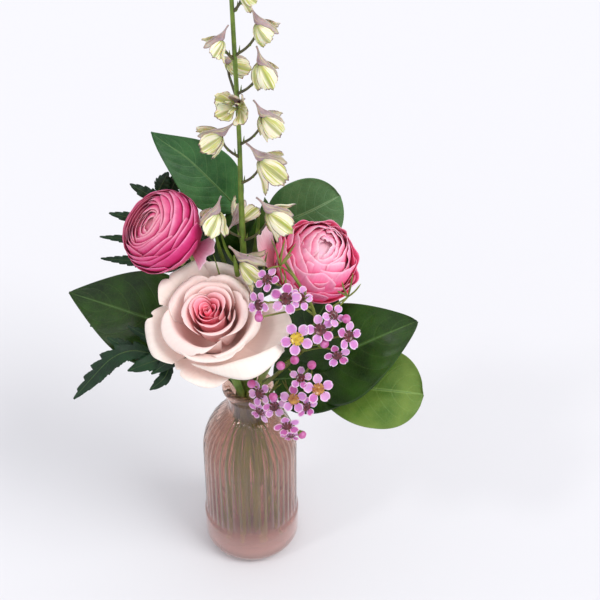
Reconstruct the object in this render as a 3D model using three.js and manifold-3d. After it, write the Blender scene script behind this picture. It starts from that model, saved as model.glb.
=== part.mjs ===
// Rose in vase: a ribbed bottle vase of pink glass, part filled with water, that holds one rose,
// two ranunculus, a spike of delphinium, two sprays of waxflower, three leafy salal stems and two
// fronds of leatherleaf fern. Millimetres, +Z up; the origin is the centre of the vase's flat
// foot, +X is to the right and -Y is the side that the rose faces.
import * as THREE from "three";
import { mergeVertices } from "three/addons/utils/BufferGeometryUtils.js";
import Module from "manifold-3d";

const wasm = await Module();
wasm.setup();
const { Manifold, Mesh: SolidMesh } = wasm;

// ---------------------------------------------------------------- driving dimensions

const GAP = 0.3; // clearance wherever two pieces rest against each other
const VASE = {
  height: 158,
  bandRadius: 35, // smooth band around the foot
  bandTop: 31.5,
  footRound: 11,
  bodyRadius: 33.6,
  shoulder: 94.5, // where the straight body turns into the dome
  neckRadius: 14,
  neckBase: 134,
  lipRadius: 18,
  ribs: 40,
  ribDepth: 0.7,
  wall: 3,
  floor: 6,
  mouthRadius: 12.2,
  throatRadius: 11.4,
};
const WATER_LEVEL = 123;
const STEM_RING = 7.2; // radius of the ring of stems inside the neck
const FOOT_RING = 22; // radius of the same ring at the vase floor
const RING_TWIST = THREE.MathUtils.degToRad(62); // the ring turns by this from neck to floor
const NECK_PASS = 154; // height at which the stems are gathered
const BLADE = 0.7; // thickness of petals and leaves

// Stems in the ring: radius and direction at the neck, anticlockwise from +X.
const RING = {
  ranunculusRight: { radius: 2.3, azimuth: 14 },
  salalBack: { radius: 1.7, azimuth: 54 },
  fernBack: { radius: 1.3, azimuth: 85 },
  ranunculusLeft: { radius: 2.3, azimuth: 122 },
  salalLeft: { radius: 1.6, azimuth: 161 },
  fernLow: { radius: 1.3, azimuth: 192 },
  rose: { radius: 2.7, azimuth: 232 },
  waxFront: { radius: 1.3, azimuth: 272 },
  waxUpper: { radius: 1.4, azimuth: 301 },
  salalRight: { radius: 1.7, azimuth: 333 },
};

// Blooms: where the receptacle is, which way the bloom faces and its turn about that axis.
const ROSE = { seat: v(-16.6, -20, 222.4), axis: v(-0.1, -0.42, 0.9), turn: 0 };
const RANUNCULUS_LEFT = { seat: v(-39, 12, 272), axis: v(-0.57, -0.25, 0.78), turn: 20, radius: 26.5 };
const RANUNCULUS_RIGHT = { seat: v(38, 14, 239), axis: v(0.36, -0.16, 0.92), turn: 50, radius: 27.5 };

function v(x, y, z) {
  return new THREE.Vector3(x, y, z);
}

// ---------------------------------------------------------------- solids and surfaces

function toSolid(geometry) {
  const bare = new THREE.BufferGeometry();
  bare.setAttribute("position", geometry.getAttribute("position"));
  bare.setIndex(geometry.index);
  const merged = mergeVertices(bare, 1e-4);
  const corners = merged.index.array;
  const kept = [];
  for (let i = 0; i < corners.length; i += 3) {
    const [a, b, c] = [corners[i], corners[i + 1], corners[i + 2]];
    if (a !== b && b !== c && c !== a) kept.push(a, b, c);
  }
  return new Manifold(new SolidMesh({
    numProp: 3,
    vertProperties: merged.getAttribute("position").array,
    triVerts: Uint32Array.from(kept),
  }));
}

function fromPoints(points, triangles) {
  const geometry = new THREE.BufferGeometry();
  geometry.setAttribute("position", new THREE.Float32BufferAttribute(points.flatMap((p) => p.toArray()), 3));
  geometry.setIndex(triangles);
  return toSolid(geometry);
}

function fuse(solids) {
  return Manifold.union(solids);
}

function toNode(name, solid, colour, roughness, extras = {}) {
  const mesh = solid.getMesh();
  const geometry = new THREE.BufferGeometry();
  geometry.setAttribute("position", new THREE.BufferAttribute(mesh.vertProperties, 3));
  geometry.setIndex(new THREE.BufferAttribute(mesh.triVerts, 1));
  geometry.computeVertexNormals();
  const material = new THREE.MeshStandardMaterial({ color: colour, roughness, metalness: 0, ...extras });
  const node = new THREE.Mesh(geometry, material);
  node.name = name;
  return node;
}

// A seeded random number in the range -1 to 1, the same at every build.
function seeded(seed) {
  let state = seed;
  return () => {
    state = (state * 16807) % 2147483647;
    return (state / 2147483647) * 2 - 1;
  };
}

// A sheet of even thickness over surface(s, t), s from -1 to 1 across and t from 0 to 1 along.
// Both faces are split into triangles alike.
function blade(across, along, surface, thickness = BLADE) {
  const step = 1e-3;
  const front = [];
  const back = [];
  for (let j = 0; j <= along; j += 1) {
    for (let i = 0; i <= across; i += 1) {
      const s = (2 * i) / across - 1;
      const t = j / along;
      const tangentS = surface(Math.min(s + step, 1), t).sub(surface(Math.max(s - step, -1), t));
      const tangentT = surface(s, Math.min(t + step, 1)).sub(surface(s, Math.max(t - step, 0)));
      const offset = tangentS.cross(tangentT).normalize().multiplyScalar(thickness / 2);
      const middle = surface(s, t);
      front.push(middle.clone().add(offset));
      back.push(middle.clone().sub(offset));
    }
  }
  const half = front.length;
  const at = (i, j) => j * (across + 1) + i;
  const triangles = [];
  const quad = (a, b, c, d) => triangles.push(a, b, c, a, c, d);
  for (let j = 0; j < along; j += 1) {
    for (let i = 0; i < across; i += 1) {
      const [a, b, c, d] = [at(i, j), at(i + 1, j), at(i + 1, j + 1), at(i, j + 1)];
      quad(a, b, c, d);
      triangles.push(half + a, half + c, half + b, half + a, half + d, half + c);
    }
  }
  for (let i = 0; i < across; i += 1) {
    quad(half + at(i, 0), half + at(i + 1, 0), at(i + 1, 0), at(i, 0));
    quad(at(i, along), at(i + 1, along), half + at(i + 1, along), half + at(i, along));
  }
  for (let j = 0; j < along; j += 1) {
    quad(at(0, j), at(0, j + 1), half + at(0, j + 1), half + at(0, j));
    quad(half + at(across, j), half + at(across, j + 1), at(across, j + 1), at(across, j));
  }
  return fromPoints([...front, ...back], triangles);
}

// A closed round rod through a list of centres, each with its own radius.
function tube(centres, radii, sides) {
  const ring = [];
  let side = null;
  centres.forEach((centre, j) => {
    const ahead = centres[Math.min(j + 1, centres.length - 1)];
    const behind = centres[Math.max(j - 1, 0)];
    const along = ahead.clone().sub(behind).normalize();
    side = side ?? (Math.abs(along.z) < 0.9 ? v(0, 0, 1) : v(1, 0, 0));
    side = side.clone().addScaledVector(along, -side.dot(along)).normalize();
    const other = along.clone().cross(side);
    for (let k = 0; k < sides; k += 1) {
      const angle = (2 * Math.PI * k) / sides;
      ring.push(centre.clone()
        .addScaledVector(side, radii[j] * Math.cos(angle))
        .addScaledVector(other, radii[j] * Math.sin(angle)));
    }
  });
  const triangles = [];
  const last = (centres.length - 1) * sides;
  for (let j = 0; j < last; j += sides) {
    for (let k = 0; k < sides; k += 1) {
      const [a, b] = [j + k, j + ((k + 1) % sides)];
      triangles.push(a, b, b + sides, a, b + sides, a + sides);
    }
  }
  for (let k = 1; k < sides - 1; k += 1) {
    triangles.push(0, k + 1, k, last, last + k, last + k + 1);
  }
  return fromPoints(ring, triangles);
}

// A rod along a smooth curve through the points; radiusAt(t) gives its radius from end to end.
function rod(points, radiusAt, sides, segments) {
  const curve = new THREE.CatmullRomCurve3(points, false, "centripetal");
  const shares = Array.from({ length: segments + 1 }, (_, j) => j / segments);
  return tube(shares.map((t) => curve.getPointAt(t)), shares.map(radiusAt), sides);
}

// A solid of revolution about +Z from a profile of [radius, height] that ends on the axis; shape
// may move each of its points by column, and turn it about the axis, which gives ribs and lobes.
function revolve(profile, sides, shape = (radius, height) => [radius, height]) {
  const lathe = new THREE.LatheGeometry(profile.map(([r, z]) => new THREE.Vector2(r, z)), sides);
  lathe.rotateX(Math.PI / 2);
  const position = lathe.getAttribute("position");
  for (let i = 0; i < position.count; i += 1) {
    const [radius, height] = profile[i % profile.length];
    const column = Math.floor(i / profile.length) % sides;
    const [grown, raised, turn = 0] = radius === 0 ? [0, height] : shape(radius, height, column);
    const angle = (2 * Math.PI * column) / sides + turn;
    position.setXYZ(i, grown * Math.sin(angle), -grown * Math.cos(angle), raised);
  }
  return toSolid(lathe);
}

// The turn that makes something modelled along +Z face along axis.
function facing({ axis, turn = 0 }) {
  const swing = new THREE.Quaternion().setFromUnitVectors(v(0, 0, 1), axis.clone().normalize());
  const spin = new THREE.Quaternion().setFromAxisAngle(v(0, 0, 1), THREE.MathUtils.degToRad(turn));
  return swing.multiply(spin);
}

// Moves a solid modelled along +Z so that its origin is at seat and it faces along axis.
function pose(solid, place) {
  const matrix = new THREE.Matrix4().compose(place.seat, facing(place), v(1, 1, 1));
  return solid.transform(matrix.toArray());
}

// ---------------------------------------------------------------- vase and water

// Outer radius of the vase at a height, without ribs.
function domeProfile(base, top, steps, inset) {
  const rise = VASE.neckBase - VASE.shoulder;
  const full = Math.acos((VASE.neckRadius + 1) / VASE.bodyRadius);
  const points = [];
  for (let i = base; i <= top; i += 1) {
    const angle = (full * i) / steps;
    const lift = (rise * Math.sin(angle)) / Math.sin(full);
    points.push([VASE.bodyRadius * Math.cos(angle) - inset, VASE.shoulder + lift]);
  }
  return points;
}

function roundedFoot(radius, floor, round, steps) {
  const points = [];
  for (let i = 0; i <= steps; i += 1) {
    const angle = (Math.PI / 2) * (i / steps);
    points.push([radius - round + round * Math.sin(angle), floor + round - round * Math.cos(angle)]);
  }
  return points;
}

function vaseOutside() {
  const { bandRadius, bandTop, footRound, bodyRadius, neckBase, neckRadius, lipRadius, height } = VASE;
  const ribTop = neckBase + 2;
  const profile = [
    [0, 0],
    ...roundedFoot(bandRadius, 0, footRound, 2),
    [bandRadius, bandTop - 1.5],
    [bodyRadius + 0.3, bandTop + 1.5],
    ...domeProfile(0, 3, 3, 0),
    [neckRadius, ribTop],
    [neckRadius + 0.6, height - 7],
    [lipRadius, height - 4],
    [lipRadius - 0.6, height],
    [0, height],
  ];
  const ribbed = (radius, z, column) => {
    const inRibs = z > bandTop && z < ribTop;
    return [inRibs ? radius + (column % 2 ? -VASE.ribDepth : VASE.ribDepth * 0.3) : radius, z];
  };
  return revolve(profile, VASE.ribs * 2, ribbed);
}

// The space inside the vase, up to a given height and smaller by a clearance all round.
function insideProfile(top, clearance) {
  const { bandRadius, wall, floor, throatRadius, mouthRadius, neckBase, height } = VASE;
  const radius = bandRadius - wall - 1.4 - clearance;
  const wanted = [
    [0, floor + clearance],
    ...roundedFoot(radius, floor + clearance, 7, 2),
    ...domeProfile(0, 3, 4, wall + clearance),
    [throatRadius - clearance, neckBase + 1],
    [throatRadius - clearance, height - 8],
    [mouthRadius - clearance, height + 1],
  ];
  const below = wanted.filter(([, z]) => z < top);
  const [lastRadius, lastHeight] = below[below.length - 1];
  const [nextRadius, nextHeight] = wanted[below.length] ?? below[below.length - 1];
  const share = nextHeight > lastHeight ? (top - lastHeight) / (nextHeight - lastHeight) : 0;
  return [...below, [lastRadius + share * (nextRadius - lastRadius), top], [0, top]];
}

const INSIDE_SIDES = 24;
const HOLE_SIDES = 6;

function vase() {
  return vaseOutside().subtract(revolve(insideProfile(VASE.height + 1, 0), INSIDE_SIDES));
}

// Where a stem of the ring stands on the floor and where it passes the neck.
function ringPoints({ azimuth, radius }) {
  const neck = THREE.MathUtils.degToRad(azimuth);
  const foot = neck + RING_TWIST;
  const lowest = VASE.floor + GAP + radius * Math.sin(Math.atan(FOOT_RING / NECK_PASS));
  return [
    v(FOOT_RING * Math.cos(foot), FOOT_RING * Math.sin(foot), lowest),
    v(STEM_RING * Math.cos(neck), STEM_RING * Math.sin(neck), NECK_PASS),
  ];
}

const CENTRE_STEM = { radius: 3 };
const CENTRE_POINTS = [v(0, 0, VASE.floor + GAP), v(0, 0, NECK_PASS)];

function water() {
  const body = revolve(insideProfile(WATER_LEVEL, GAP), INSIDE_SIDES);
  const ringHoles = Object.values(RING).map((standing) => [ringPoints(standing), standing.radius]);
  const holes = [[CENTRE_POINTS, CENTRE_STEM.radius], ...ringHoles];
  const bores = holes.map(([[foot, neck], radius]) => {
    const along = neck.clone().sub(foot).normalize();
    const start = foot.clone().addScaledVector(along, -6);
    const bore = (radius + GAP) / Math.cos(Math.PI / HOLE_SIDES);
    return tube([start, neck], [bore, bore], HOLE_SIDES);
  });
  return body.subtract(fuse(bores));
}

// A cut stem: straight through the water, gathered at the neck, then out along its own points.
function stem(standing, beyond, taper = 1, sides = 6) {
  const [foot, neck] = standing.azimuth === undefined ? CENTRE_POINTS : ringPoints(standing);
  const curve = new THREE.CatmullRomCurve3([neck, ...beyond], false, "centripetal");
  const steps = Math.ceil(1.5 * beyond.length) + 1;
  const centres = [foot, neck];
  const radii = [standing.radius, standing.radius];
  for (let i = 1; i <= steps; i += 1) {
    const t = i / steps;
    centres.push(curve.getPointAt(t));
    radii.push(standing.radius * (1 + (taper - 1) * t));
  }
  return tube(centres, radii, sides);
}

// ---------------------------------------------------------------- rose

// Petal whorls of the rose, from the heart outwards. Each profile is the petal's middle line as
// [distance from the bloom's axis, height above the receptacle]; halfAngle is in degrees.
const ROSE_WHORLS = [
  { count: 3, halfAngle: 62, spiral: 1.6, profile: [[3, 2], [10, 16], [9.5, 31], [6, 41]] },
  { count: 3, halfAngle: 62, spiral: 1.8, profile: [[4, 2], [15, 12], [14.5, 29], [13.5, 42]] },
  { count: 4, halfAngle: 52, spiral: 2, profile: [[4, 2], [19, 6], [19.5, 28], [22, 41]] },
  { count: 5, halfAngle: 44, spiral: 2, profile: [[4, 2], [24, 4], [25, 26], [32, 35]] },
];
// The outermost petals: direction in degrees, and length against the others.
const ROSE_OUTER = { halfAngle: 36, spiral: 1.2, profile: [[4, 2], [29, 1], [33, 20], [41, 23]] };
const ROSE_OUTER_PETALS = [[-6, 1.27], [58, 0.97], [118, 1.03], [182, 1.1], [246, 1.03], [304, 1]];
const ROSE_HEART = [[0, 1], [5, 3], [7.5, 14], [6.5, 28], [3.5, 37], [0, 38.5]];
const ROSE_BASE = [[0, 0], [4.4, 0], [6.4, 1.6], [6.6, 3.6], [4, 6], [0, 6]];

function rosePetal(whorl, middle, length, random) {
  const ends = whorl.profile.map(([r, z]) => new THREE.Vector2(r * length, z));
  const line = new THREE.CubicBezierCurve(...ends);
  const halfAngle = THREE.MathUtils.degToRad(whorl.halfAngle);
  const lean = 0.9 * random();
  return (s, t) => {
    const rounded = t * (1 - 0.2 * s * s * t);
    const point = line.getPoint(rounded);
    const angle = middle + s * halfAngle * (0.55 + 0.45 * Math.sqrt(t));
    const radius = point.x + whorl.spiral * s * t + lean * t + 0.5 * t * t * Math.sin(4 * s + middle);
    return v(radius * Math.cos(angle), radius * Math.sin(angle), point.y);
  };
}

function roseBloom() {
  const random = seeded(11);
  const parts = [revolve(ROSE_BASE, 10), revolve(ROSE_HEART, 8)];
  ROSE_WHORLS.forEach((whorl, layer) => {
    for (let index = 0; index < whorl.count; index += 1) {
      const middle = (2 * Math.PI * index) / whorl.count + layer * 2.4;
      parts.push(blade(3, 3, rosePetal(whorl, middle, 1, random)));
    }
  });
  for (const [direction, length] of ROSE_OUTER_PETALS) {
    const middle = THREE.MathUtils.degToRad(direction);
    parts.push(blade(4, 3, rosePetal(ROSE_OUTER, middle, length, random)));
  }
  return fuse(parts);
}

function roseStem() {
  const { seat, axis } = ROSE;
  const up = axis.clone().normalize();
  const top = seat.clone().addScaledVector(up, -GAP);
  const beyond = [v(-8.5, -8, 172), v(-14, -14, 200), top.clone().addScaledVector(up, -9)];
  const hip = rod(
    [top.clone().addScaledVector(up, -11), top.clone().addScaledVector(up, -5), top],
    (t) => [2.7, 4.6, 4.2][Math.round(t * 2)], 7, 2,
  );
  const parts = [stem(RING.rose, beyond), hip];
  const sepals = 5;
  for (let index = 0; index < sepals; index += 1) {
    const surface = (s, t) => {
      const width = 3.6 * (1 - 0.85 * t) * (0.6 + 0.4 * Math.sin(Math.PI * t));
      const angle = (2 * Math.PI * index) / sepals + 0.3;
      const out = 3 + 15 * t;
      const sideways = s * width;
      const drop = -2 - 6 * t - 13 * t * t + 0.15 * Math.abs(s) * width;
      return v(
        out * Math.cos(angle) - sideways * Math.sin(angle),
        out * Math.sin(angle) + sideways * Math.cos(angle),
        drop,
      );
    };
    parts.push(pose(blade(2, 2, surface), { seat: top, axis: up }));
  }
  return fuse(parts);
}

// ---------------------------------------------------------------- ranunculus

// Petal whorls of a ranunculus as parts of its ball: how far each reaches towards the bloom's
// face and where it is rooted (degrees from the axis), its share of the ball's radius, and how
// much its rim flares.
const BALL_WHORLS = [
  { count: 5, rim: 92, root: 160, share: 1.0, flare: 0.1 },
  { count: 5, rim: 64, root: 112, share: 0.94, flare: 0.04 },
  { count: 5, rim: 44, root: 84, share: 0.87, flare: 0.03 },
  { count: 4, rim: 25, root: 62, share: 0.8, flare: 0.02 },
];

const CORE_SHARE = 0.7; // the dense heart inside the petals

function ballPetal(radius, whorl, index, offset) {
  const middle = (2 * Math.PI * index) / whorl.count + offset;
  const start = THREE.MathUtils.degToRad(whorl.root);
  const rim = THREE.MathUtils.degToRad(whorl.rim);
  return (s, t) => {
    const along = t * (1 - 0.16 * s * s * t);
    const polar = start + (rim - start) * along;
    const sunk = whorl.share > 0.99 ? 0 : (whorl.share - CORE_SHARE + 0.05) * Math.max(0, 1 - 2.5 * t);
    const reach = radius * (whorl.share - sunk + whorl.flare * along ** 4 + 0.012 * s);
    const angle = middle + s * (Math.PI / whorl.count) * 0.96;
    return v(
      reach * Math.sin(polar) * Math.cos(angle),
      reach * Math.sin(polar) * Math.sin(angle),
      radius * 0.94 + reach * Math.cos(polar),
    );
  };
}

function ranunculusBloom(radius, ruffle) {
  const core = radius * CORE_SHARE;
  const middle = radius * 0.94;
  const heart = [[0, middle - core]];
  for (const polar of [144, 108, 72, 36]) {
    const angle = THREE.MathUtils.degToRad(polar);
    heart.push([core * Math.sin(angle), middle + core * Math.cos(angle)]);
  }
  heart.push([0, middle + core * 0.84]);
  const base = [[0, 0], [3.6, 0], [12, 1.4], [13.5, 5], [0, 8]];
  const parts = [revolve(heart, 9), revolve(base, 9)];
  BALL_WHORLS.forEach((whorl, layer) => {
    const shaped = { ...whorl, flare: whorl.flare * ruffle };
    for (let index = 0; index < whorl.count; index += 1) {
      parts.push(blade(2, 2, ballPetal(radius, shaped, index, layer * 1.9)));
    }
  });
  return fuse(parts);
}

function ranunculusStem(standing, place, path) {
  const up = place.axis.clone().normalize();
  const [top, neck, low] = [-GAP, -6, -9].map((lift) => place.seat.clone().addScaledVector(up, lift));
  const cup = tube([low, neck, top], [standing.radius, standing.radius, standing.radius + 1.2], 7);
  return stem(standing, [...path, neck]).add(cup);
}

// ---------------------------------------------------------------- delphinium

const SPIKE = [
  v(0, 2, 205), v(-0.3, 5, 258), v(-0.9, 10, 319), v(-0.9, 12, 357), v(-2, 14.5, 410),
  v(-3, 16.5, 455), v(-4, 18, 492),
];

// Florets up the spike: height, direction about the stem (degrees from +X), reach of the pedicel,
// how far the flower nods below level, and its size.
const FLORETS = [
  { height: 284, azimuth: -62, reach: 12, nod: 30, size: 1 },
  { height: 290, azimuth: 96, reach: 10, nod: 35, size: 0.8 },
  { height: 305, azimuth: -38, reach: 17, nod: 15, size: 1 },
  { height: 307, azimuth: 215, reach: 12, nod: 55, size: 1 },
  { height: 348, azimuth: -38, reach: 16, nod: 25, size: 1.1 },
  { height: 369, azimuth: 212, reach: 14, nod: 20, size: 0.95 },
  { height: 388, azimuth: -40, reach: 14, nod: 50, size: 0.9 },
  { height: 392, azimuth: 268, reach: 13, nod: 15, size: 0.9 },
  { height: 398, azimuth: 86, reach: 13, nod: 45, size: 0.75 },
  { height: 418, azimuth: -35, reach: 14, nod: 65, size: 0.95 },
  { height: 437, azimuth: 212, reach: 9, nod: 40, size: 0.85 },
  { height: 449, azimuth: -30, reach: 13, nod: 25, size: 0.8 },
  { height: 466, azimuth: 170, reach: 7, nod: 20, size: 0.6 },
  { height: 480, azimuth: 20, reach: 5, nod: -10, size: 0.45 },
];

// One floret facing +Z, with the end of its pedicel at the origin: a cup of five pointed sepals
// and a spur that runs back and bends up.
const FLORET_PROFILE = [
  [0, -13], [2.3, -4], [3.4, 3], [7.6, 9], [8.2, 17], [6.7, 9.8], [0, 4],
];

function floret(size) {
  const lobes = (radius, height, column) => {
    const notch = column % 2 === 1;
    const low = Math.max(0, height - 9.5);
    return [radius * (notch ? 0.86 : 1), height - (notch ? 0.95 * low : 0)];
  };
  const cup = revolve(FLORET_PROFILE, 10, lobes);
  const bent = cup.warp((point) => {
    const back = Math.max(0, -point[2]);
    point[1] -= 0.055 * back * back;
    point[0] *= size;
    point[1] *= size;
    point[2] *= size;
  });
  return bent;
}

function heading(azimuth, nod) {
  const turn = THREE.MathUtils.degToRad(azimuth);
  const dip = THREE.MathUtils.degToRad(nod);
  return v(Math.cos(turn) * Math.cos(dip), Math.sin(turn) * Math.cos(dip), -Math.sin(dip));
}

// Places a solid that faces +Z and whose back is -Y so that it faces a direction, back upwards.
function face(solid, seat, direction) {
  const forward = direction.clone().normalize();
  const right = v(0, 0, 1).cross(forward).normalize();
  const down = forward.clone().cross(right).normalize();
  const matrix = new THREE.Matrix4().makeBasis(right.negate(), down.negate(), forward);
  matrix.setPosition(seat);
  return solid.transform(matrix.toArray());
}

function delphinium() {
  const curve = new THREE.CatmullRomCurve3(SPIKE, false, "centripetal");
  const parts = [stem(CENTRE_STEM, SPIKE, 0.42)];
  const onStem = (height) => {
    let share = 0;
    while (share < 1 && curve.getPoint(share).z < height) share += 0.004;
    return curve.getPoint(Math.min(share, 1));
  };
  for (const { height, azimuth, reach, nod, size } of FLORETS) {
    const out = heading(azimuth, 0);
    const seat = onStem(height).addScaledVector(out, reach);
    const root = onStem(height - reach * 1.3);
    const bend = onStem(height - reach * 0.7).addScaledVector(out, reach * 0.55);
    parts.push(tube([root, bend, seat], [0.8, 0.7, 0.7], 3));
    parts.push(face(floret(size), seat, heading(azimuth, nod)));
  }
  return fuse(parts);
}

// ---------------------------------------------------------------- thin plates

// A flat outline in [along, across] made into a thin plate and arched by lift(along, across).
function plate(outline, lift, thickness = BLADE) {
  const contour = outline.map(([x, y]) => new THREE.Vector2(x, y));
  const faces = THREE.ShapeUtils.triangulateShape(contour, []);
  const points = [];
  for (const side of [0.5, -0.5]) {
    for (const [x, y] of outline) points.push(v(x, y, lift(x, y) + side * thickness));
  }
  const count = outline.length;
  const triangles = [];
  for (const [a, b, c] of faces) triangles.push(a, b, c, count + a, count + c, count + b);
  for (let i = 0; i < count; i += 1) {
    const next = (i + 1) % count;
    triangles.push(i, i + count, next, next, i + count, next + count);
  }
  return fromPoints(points, triangles);
}

// Moves a plate from the [along, across, up] frame to a place.
function lay(solid, seat, along, up) {
  const x = along.clone().normalize();
  const y = up.clone().cross(x).normalize();
  const z = x.clone().cross(y);
  const matrix = new THREE.Matrix4().makeBasis(x, y, z);
  matrix.setPosition(seat);
  return solid.transform(matrix.toArray());
}

// ---------------------------------------------------------------- waxflower

const TO_VIEWER = v(0, -0.74, 0.67);
const WAX_FRONT = {
  standing: RING.waxFront,
  path: [v(2, -12, 163), v(13, -30, 173), v(27, -38, 187), v(38, -38, 205)],
  flowers: [
    { at: v(47.9, -50, 203.3), face: v(0.2, -0.8, 0.6) },
    { at: v(32.3, -50, 194), face: v(-0.3, -0.8, 0.5) },
    { at: v(10.2, -42, 189.5), face: v(-0.3, -0.6, 0.7) },
    { at: v(9.9, -42, 172.4), face: v(-0.4, -0.9, 0.1) },
    { at: v(26.8, -46, 164), face: v(0.1, -0.95, 0) },
    { at: v(36.8, -48, 211.4), face: v(0, -0.5, 0.85) },
  ],
  buds: [v(33, -46, 152), v(37, -46, 160)],
};
const WAX_UPPER = {
  standing: RING.waxUpper,
  path: [v(12, -18, 175), v(32, -24, 205), v(45, -31, 232), v(45, -29, 252), v(27, -18, 284)],
  flowers: [
    { at: v(34.3, -48, 246.1), face: v(-0.1, -0.7, 0.7) },
    { at: v(27.4, -35, 270), face: v(-0.2, -0.8, 0.5) },
    { at: v(10, -44, 274), face: v(-0.7, -0.6, 0.4) },
    { at: v(15.4, -25, 274), face: v(-0.5, -0.2, 0.8) },
    { at: v(48.9, -44, 250.7), face: v(0.1, -0.8, 0.6) },
    { at: v(66.8, -40, 242.9), face: v(0.4, -0.7, 0.6) },
    { at: v(57.1, -38, 255.6), face: v(0.5, -0.3, 0.8) },
    { at: v(60, -44, 225.3), face: v(0.2, -0.95, 0.2) },
  ],
  buds: [v(12.4, -50, 264), v(24.5, -52, 227), v(33, -50, 225)],
};

// One waxflower facing +Z: five round petals, cut to the cup at its middle, on a narrow funnel.
const WAX_CUP = 3;
const WAX_PROFILE = [[0, -7], [2.5, -0.9], [10, 0], [10, 0.7], [0, 0.2]];

function waxFlower() {
  const petals = 5;
  const corners = [[0.36, 0], [1.04, -0.23], [1.04, 0.23]]; // a notch, then a petal's two corners
  return revolve(WAX_PROFILE, corners.length * petals, (radius, height, column) => {
    if (radius < WAX_CUP) return [radius, height];
    const [share, turn] = corners[column % corners.length];
    const grown = radius * share;
    return [grown, height + 0.02 * grown * grown, turn];
  });
}

function waxSpray({ standing, path, flowers, buds }, seed) {
  const random = seeded(seed);
  const curve = new THREE.CatmullRomCurve3([ringPoints(standing)[1], ...path], false, "centripetal");
  const parts = [stem(standing, path, 0.75)];
  const nearest = (target) => {
    let best = 0;
    for (let share = 0.15; share <= 1; share += 0.02) {
      const closer = curve.getPoint(share).distanceTo(target) < curve.getPoint(best).distanceTo(target);
      if (closer) best = share;
    }
    return curve.getPoint(Math.max(best - 0.1, 0));
  };
  const twig = (end, direction) => {
    const start = nearest(end);
    const bend = start.clone().lerp(end, 0.6).addScaledVector(direction, -3);
    parts.push(tube([start, bend, end], [0.7, 0.6, 0.6], 3));
    return bend;
  };
  flowers.forEach(({ at, face: direction }, index) => {
    const facing = direction.clone().normalize();
    const back = at.clone().addScaledVector(facing, -5.4);
    const bend = twig(back, facing);
    parts.push(pose(waxFlower(), { seat: at, axis: facing, turn: 40 * random() }));
    if (index % 2) return;
    const needle = bend.clone().add(v(9 * random(), -4 + 4 * random(), 12 + 3 * random()));
    parts.push(tube([bend, needle], [0.6, 0.35], 3));
  });
  for (const at of buds) {
    const bend = twig(at, TO_VIEWER);
    const along = at.clone().sub(bend).normalize();
    const [low, high] = [at.clone().addScaledVector(along, -2), at.clone().addScaledVector(along, 4)];
    parts.push(tube([low, low.clone().lerp(high, 0.6), high], [0.7, 2.3, 0.6], 5));
  }
  return fuse(parts);
}

// ---------------------------------------------------------------- salal leaves

// A leaf arches from base to tip, its face turned towards up.
function salalLeaf({ base, tip, up, width, arch = 0.1, seed = 1, blunt = 0 }) {
  const reach = tip.clone().sub(base);
  const length = reach.length();
  const along = reach.clone().normalize();
  const across = up.clone().cross(along).normalize();
  const normal = along.clone().cross(across);
  return (s, t) => {
    const taper = (1 - 0.28 * t ** 3) * (1 - blunt) + blunt;
    const swell = Math.sin(Math.PI * t ** (0.78 + 0.25 * blunt)) ** (0.8 - 0.25 * blunt);
    const outline = Math.max(swell * taper, 0.04);
    const half = (width / 2) * outline;
    const lift = length * arch * Math.sin(Math.PI * t) + half * 0.22 * Math.abs(s)
      + 1.3 * Math.sin(7 * t + seed + 2 * s) * s * s;
    return base.clone()
      .addScaledVector(along, length * t)
      .addScaledVector(across, half * s)
      .addScaledVector(normal, lift);
  };
}

function salalStem({ standing, path, leaves }) {
  const parts = [stem(standing, path, 0.8)];
  for (const leaf of leaves) {
    parts.push(blade(4, 5, salalLeaf(leaf)));
    const into = leaf.tip.clone().sub(leaf.base).normalize();
    parts.push(tube([leaf.from, leaf.base, leaf.base.clone().addScaledVector(into, 5)], [1.1, 1, 0.8], 5));
  }
  return fuse(parts);
}

const SALAL_BACK = {
  standing: RING.salalBack,
  path: [v(7, 14, 175), v(8, 34, 215), v(4, 42, 250), v(-2, 41, 274)],
  leaves: [
    {
      from: v(-2, 41, 274), base: v(-4, 42, 279), tip: v(-57, 57, 334), up: v(0.15, -0.8, 0.6),
      width: 40,
    },
    {
      from: v(6, 39, 236), base: v(14, 52, 256), tip: v(63, 58, 281), up: v(0.1, -0.93, 0.35),
      width: 48, blunt: 0.6,
    },
  ],
};
const SALAL_LEFT = {
  standing: RING.salalLeft,
  path: [v(-13, 6, 167), v(-24, 12, 175)],
  leaves: [
    {
      from: v(-24, 12, 175), base: v(-33, 14, 179), tip: v(-120, 22, 223), up: v(0.2, -0.7, 0.7),
      width: 62,
    },
  ],
};
const SALAL_RIGHT = {
  standing: RING.salalRight,
  path: [v(13, -7, 168), v(26, -9, 174)],
  leaves: [
    {
      from: v(26, -9, 174), base: v(36, -9, 175), tip: v(113, -14, 230), up: v(-0.25, -0.65, 0.7),
      width: 68,
    },
    {
      from: v(18, -8, 170), base: v(44, -13, 169), tip: v(114, -40, 182), up: v(-0.1, -0.6, 0.8),
      width: 58, blunt: 0.6,
    },
  ],
};

// ---------------------------------------------------------------- leatherleaf fern

// A pinna's outline: a long blade with teeth that point to its tip.
function pinnaOutline(length, width, teeth) {
  const edge = [];
  for (let index = 0; index < teeth; index += 1) {
    const notch = 0.08 + (0.9 * index) / teeth;
    const point = notch + 0.95 / teeth;
    const halfWidth = (width / 2) * Math.sin(Math.PI * (0.18 + 0.76 * notch)) ** 0.8;
    edge.push([length * notch, 0.66 * halfWidth], [length * Math.min(point, 0.97), halfWidth]);
  }
  const lower = edge.map(([x, y]) => [x, -y]);
  return [[0, -0.8], ...lower, [length, 0], ...edge.reverse(), [0, 0.8]];
}

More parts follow.
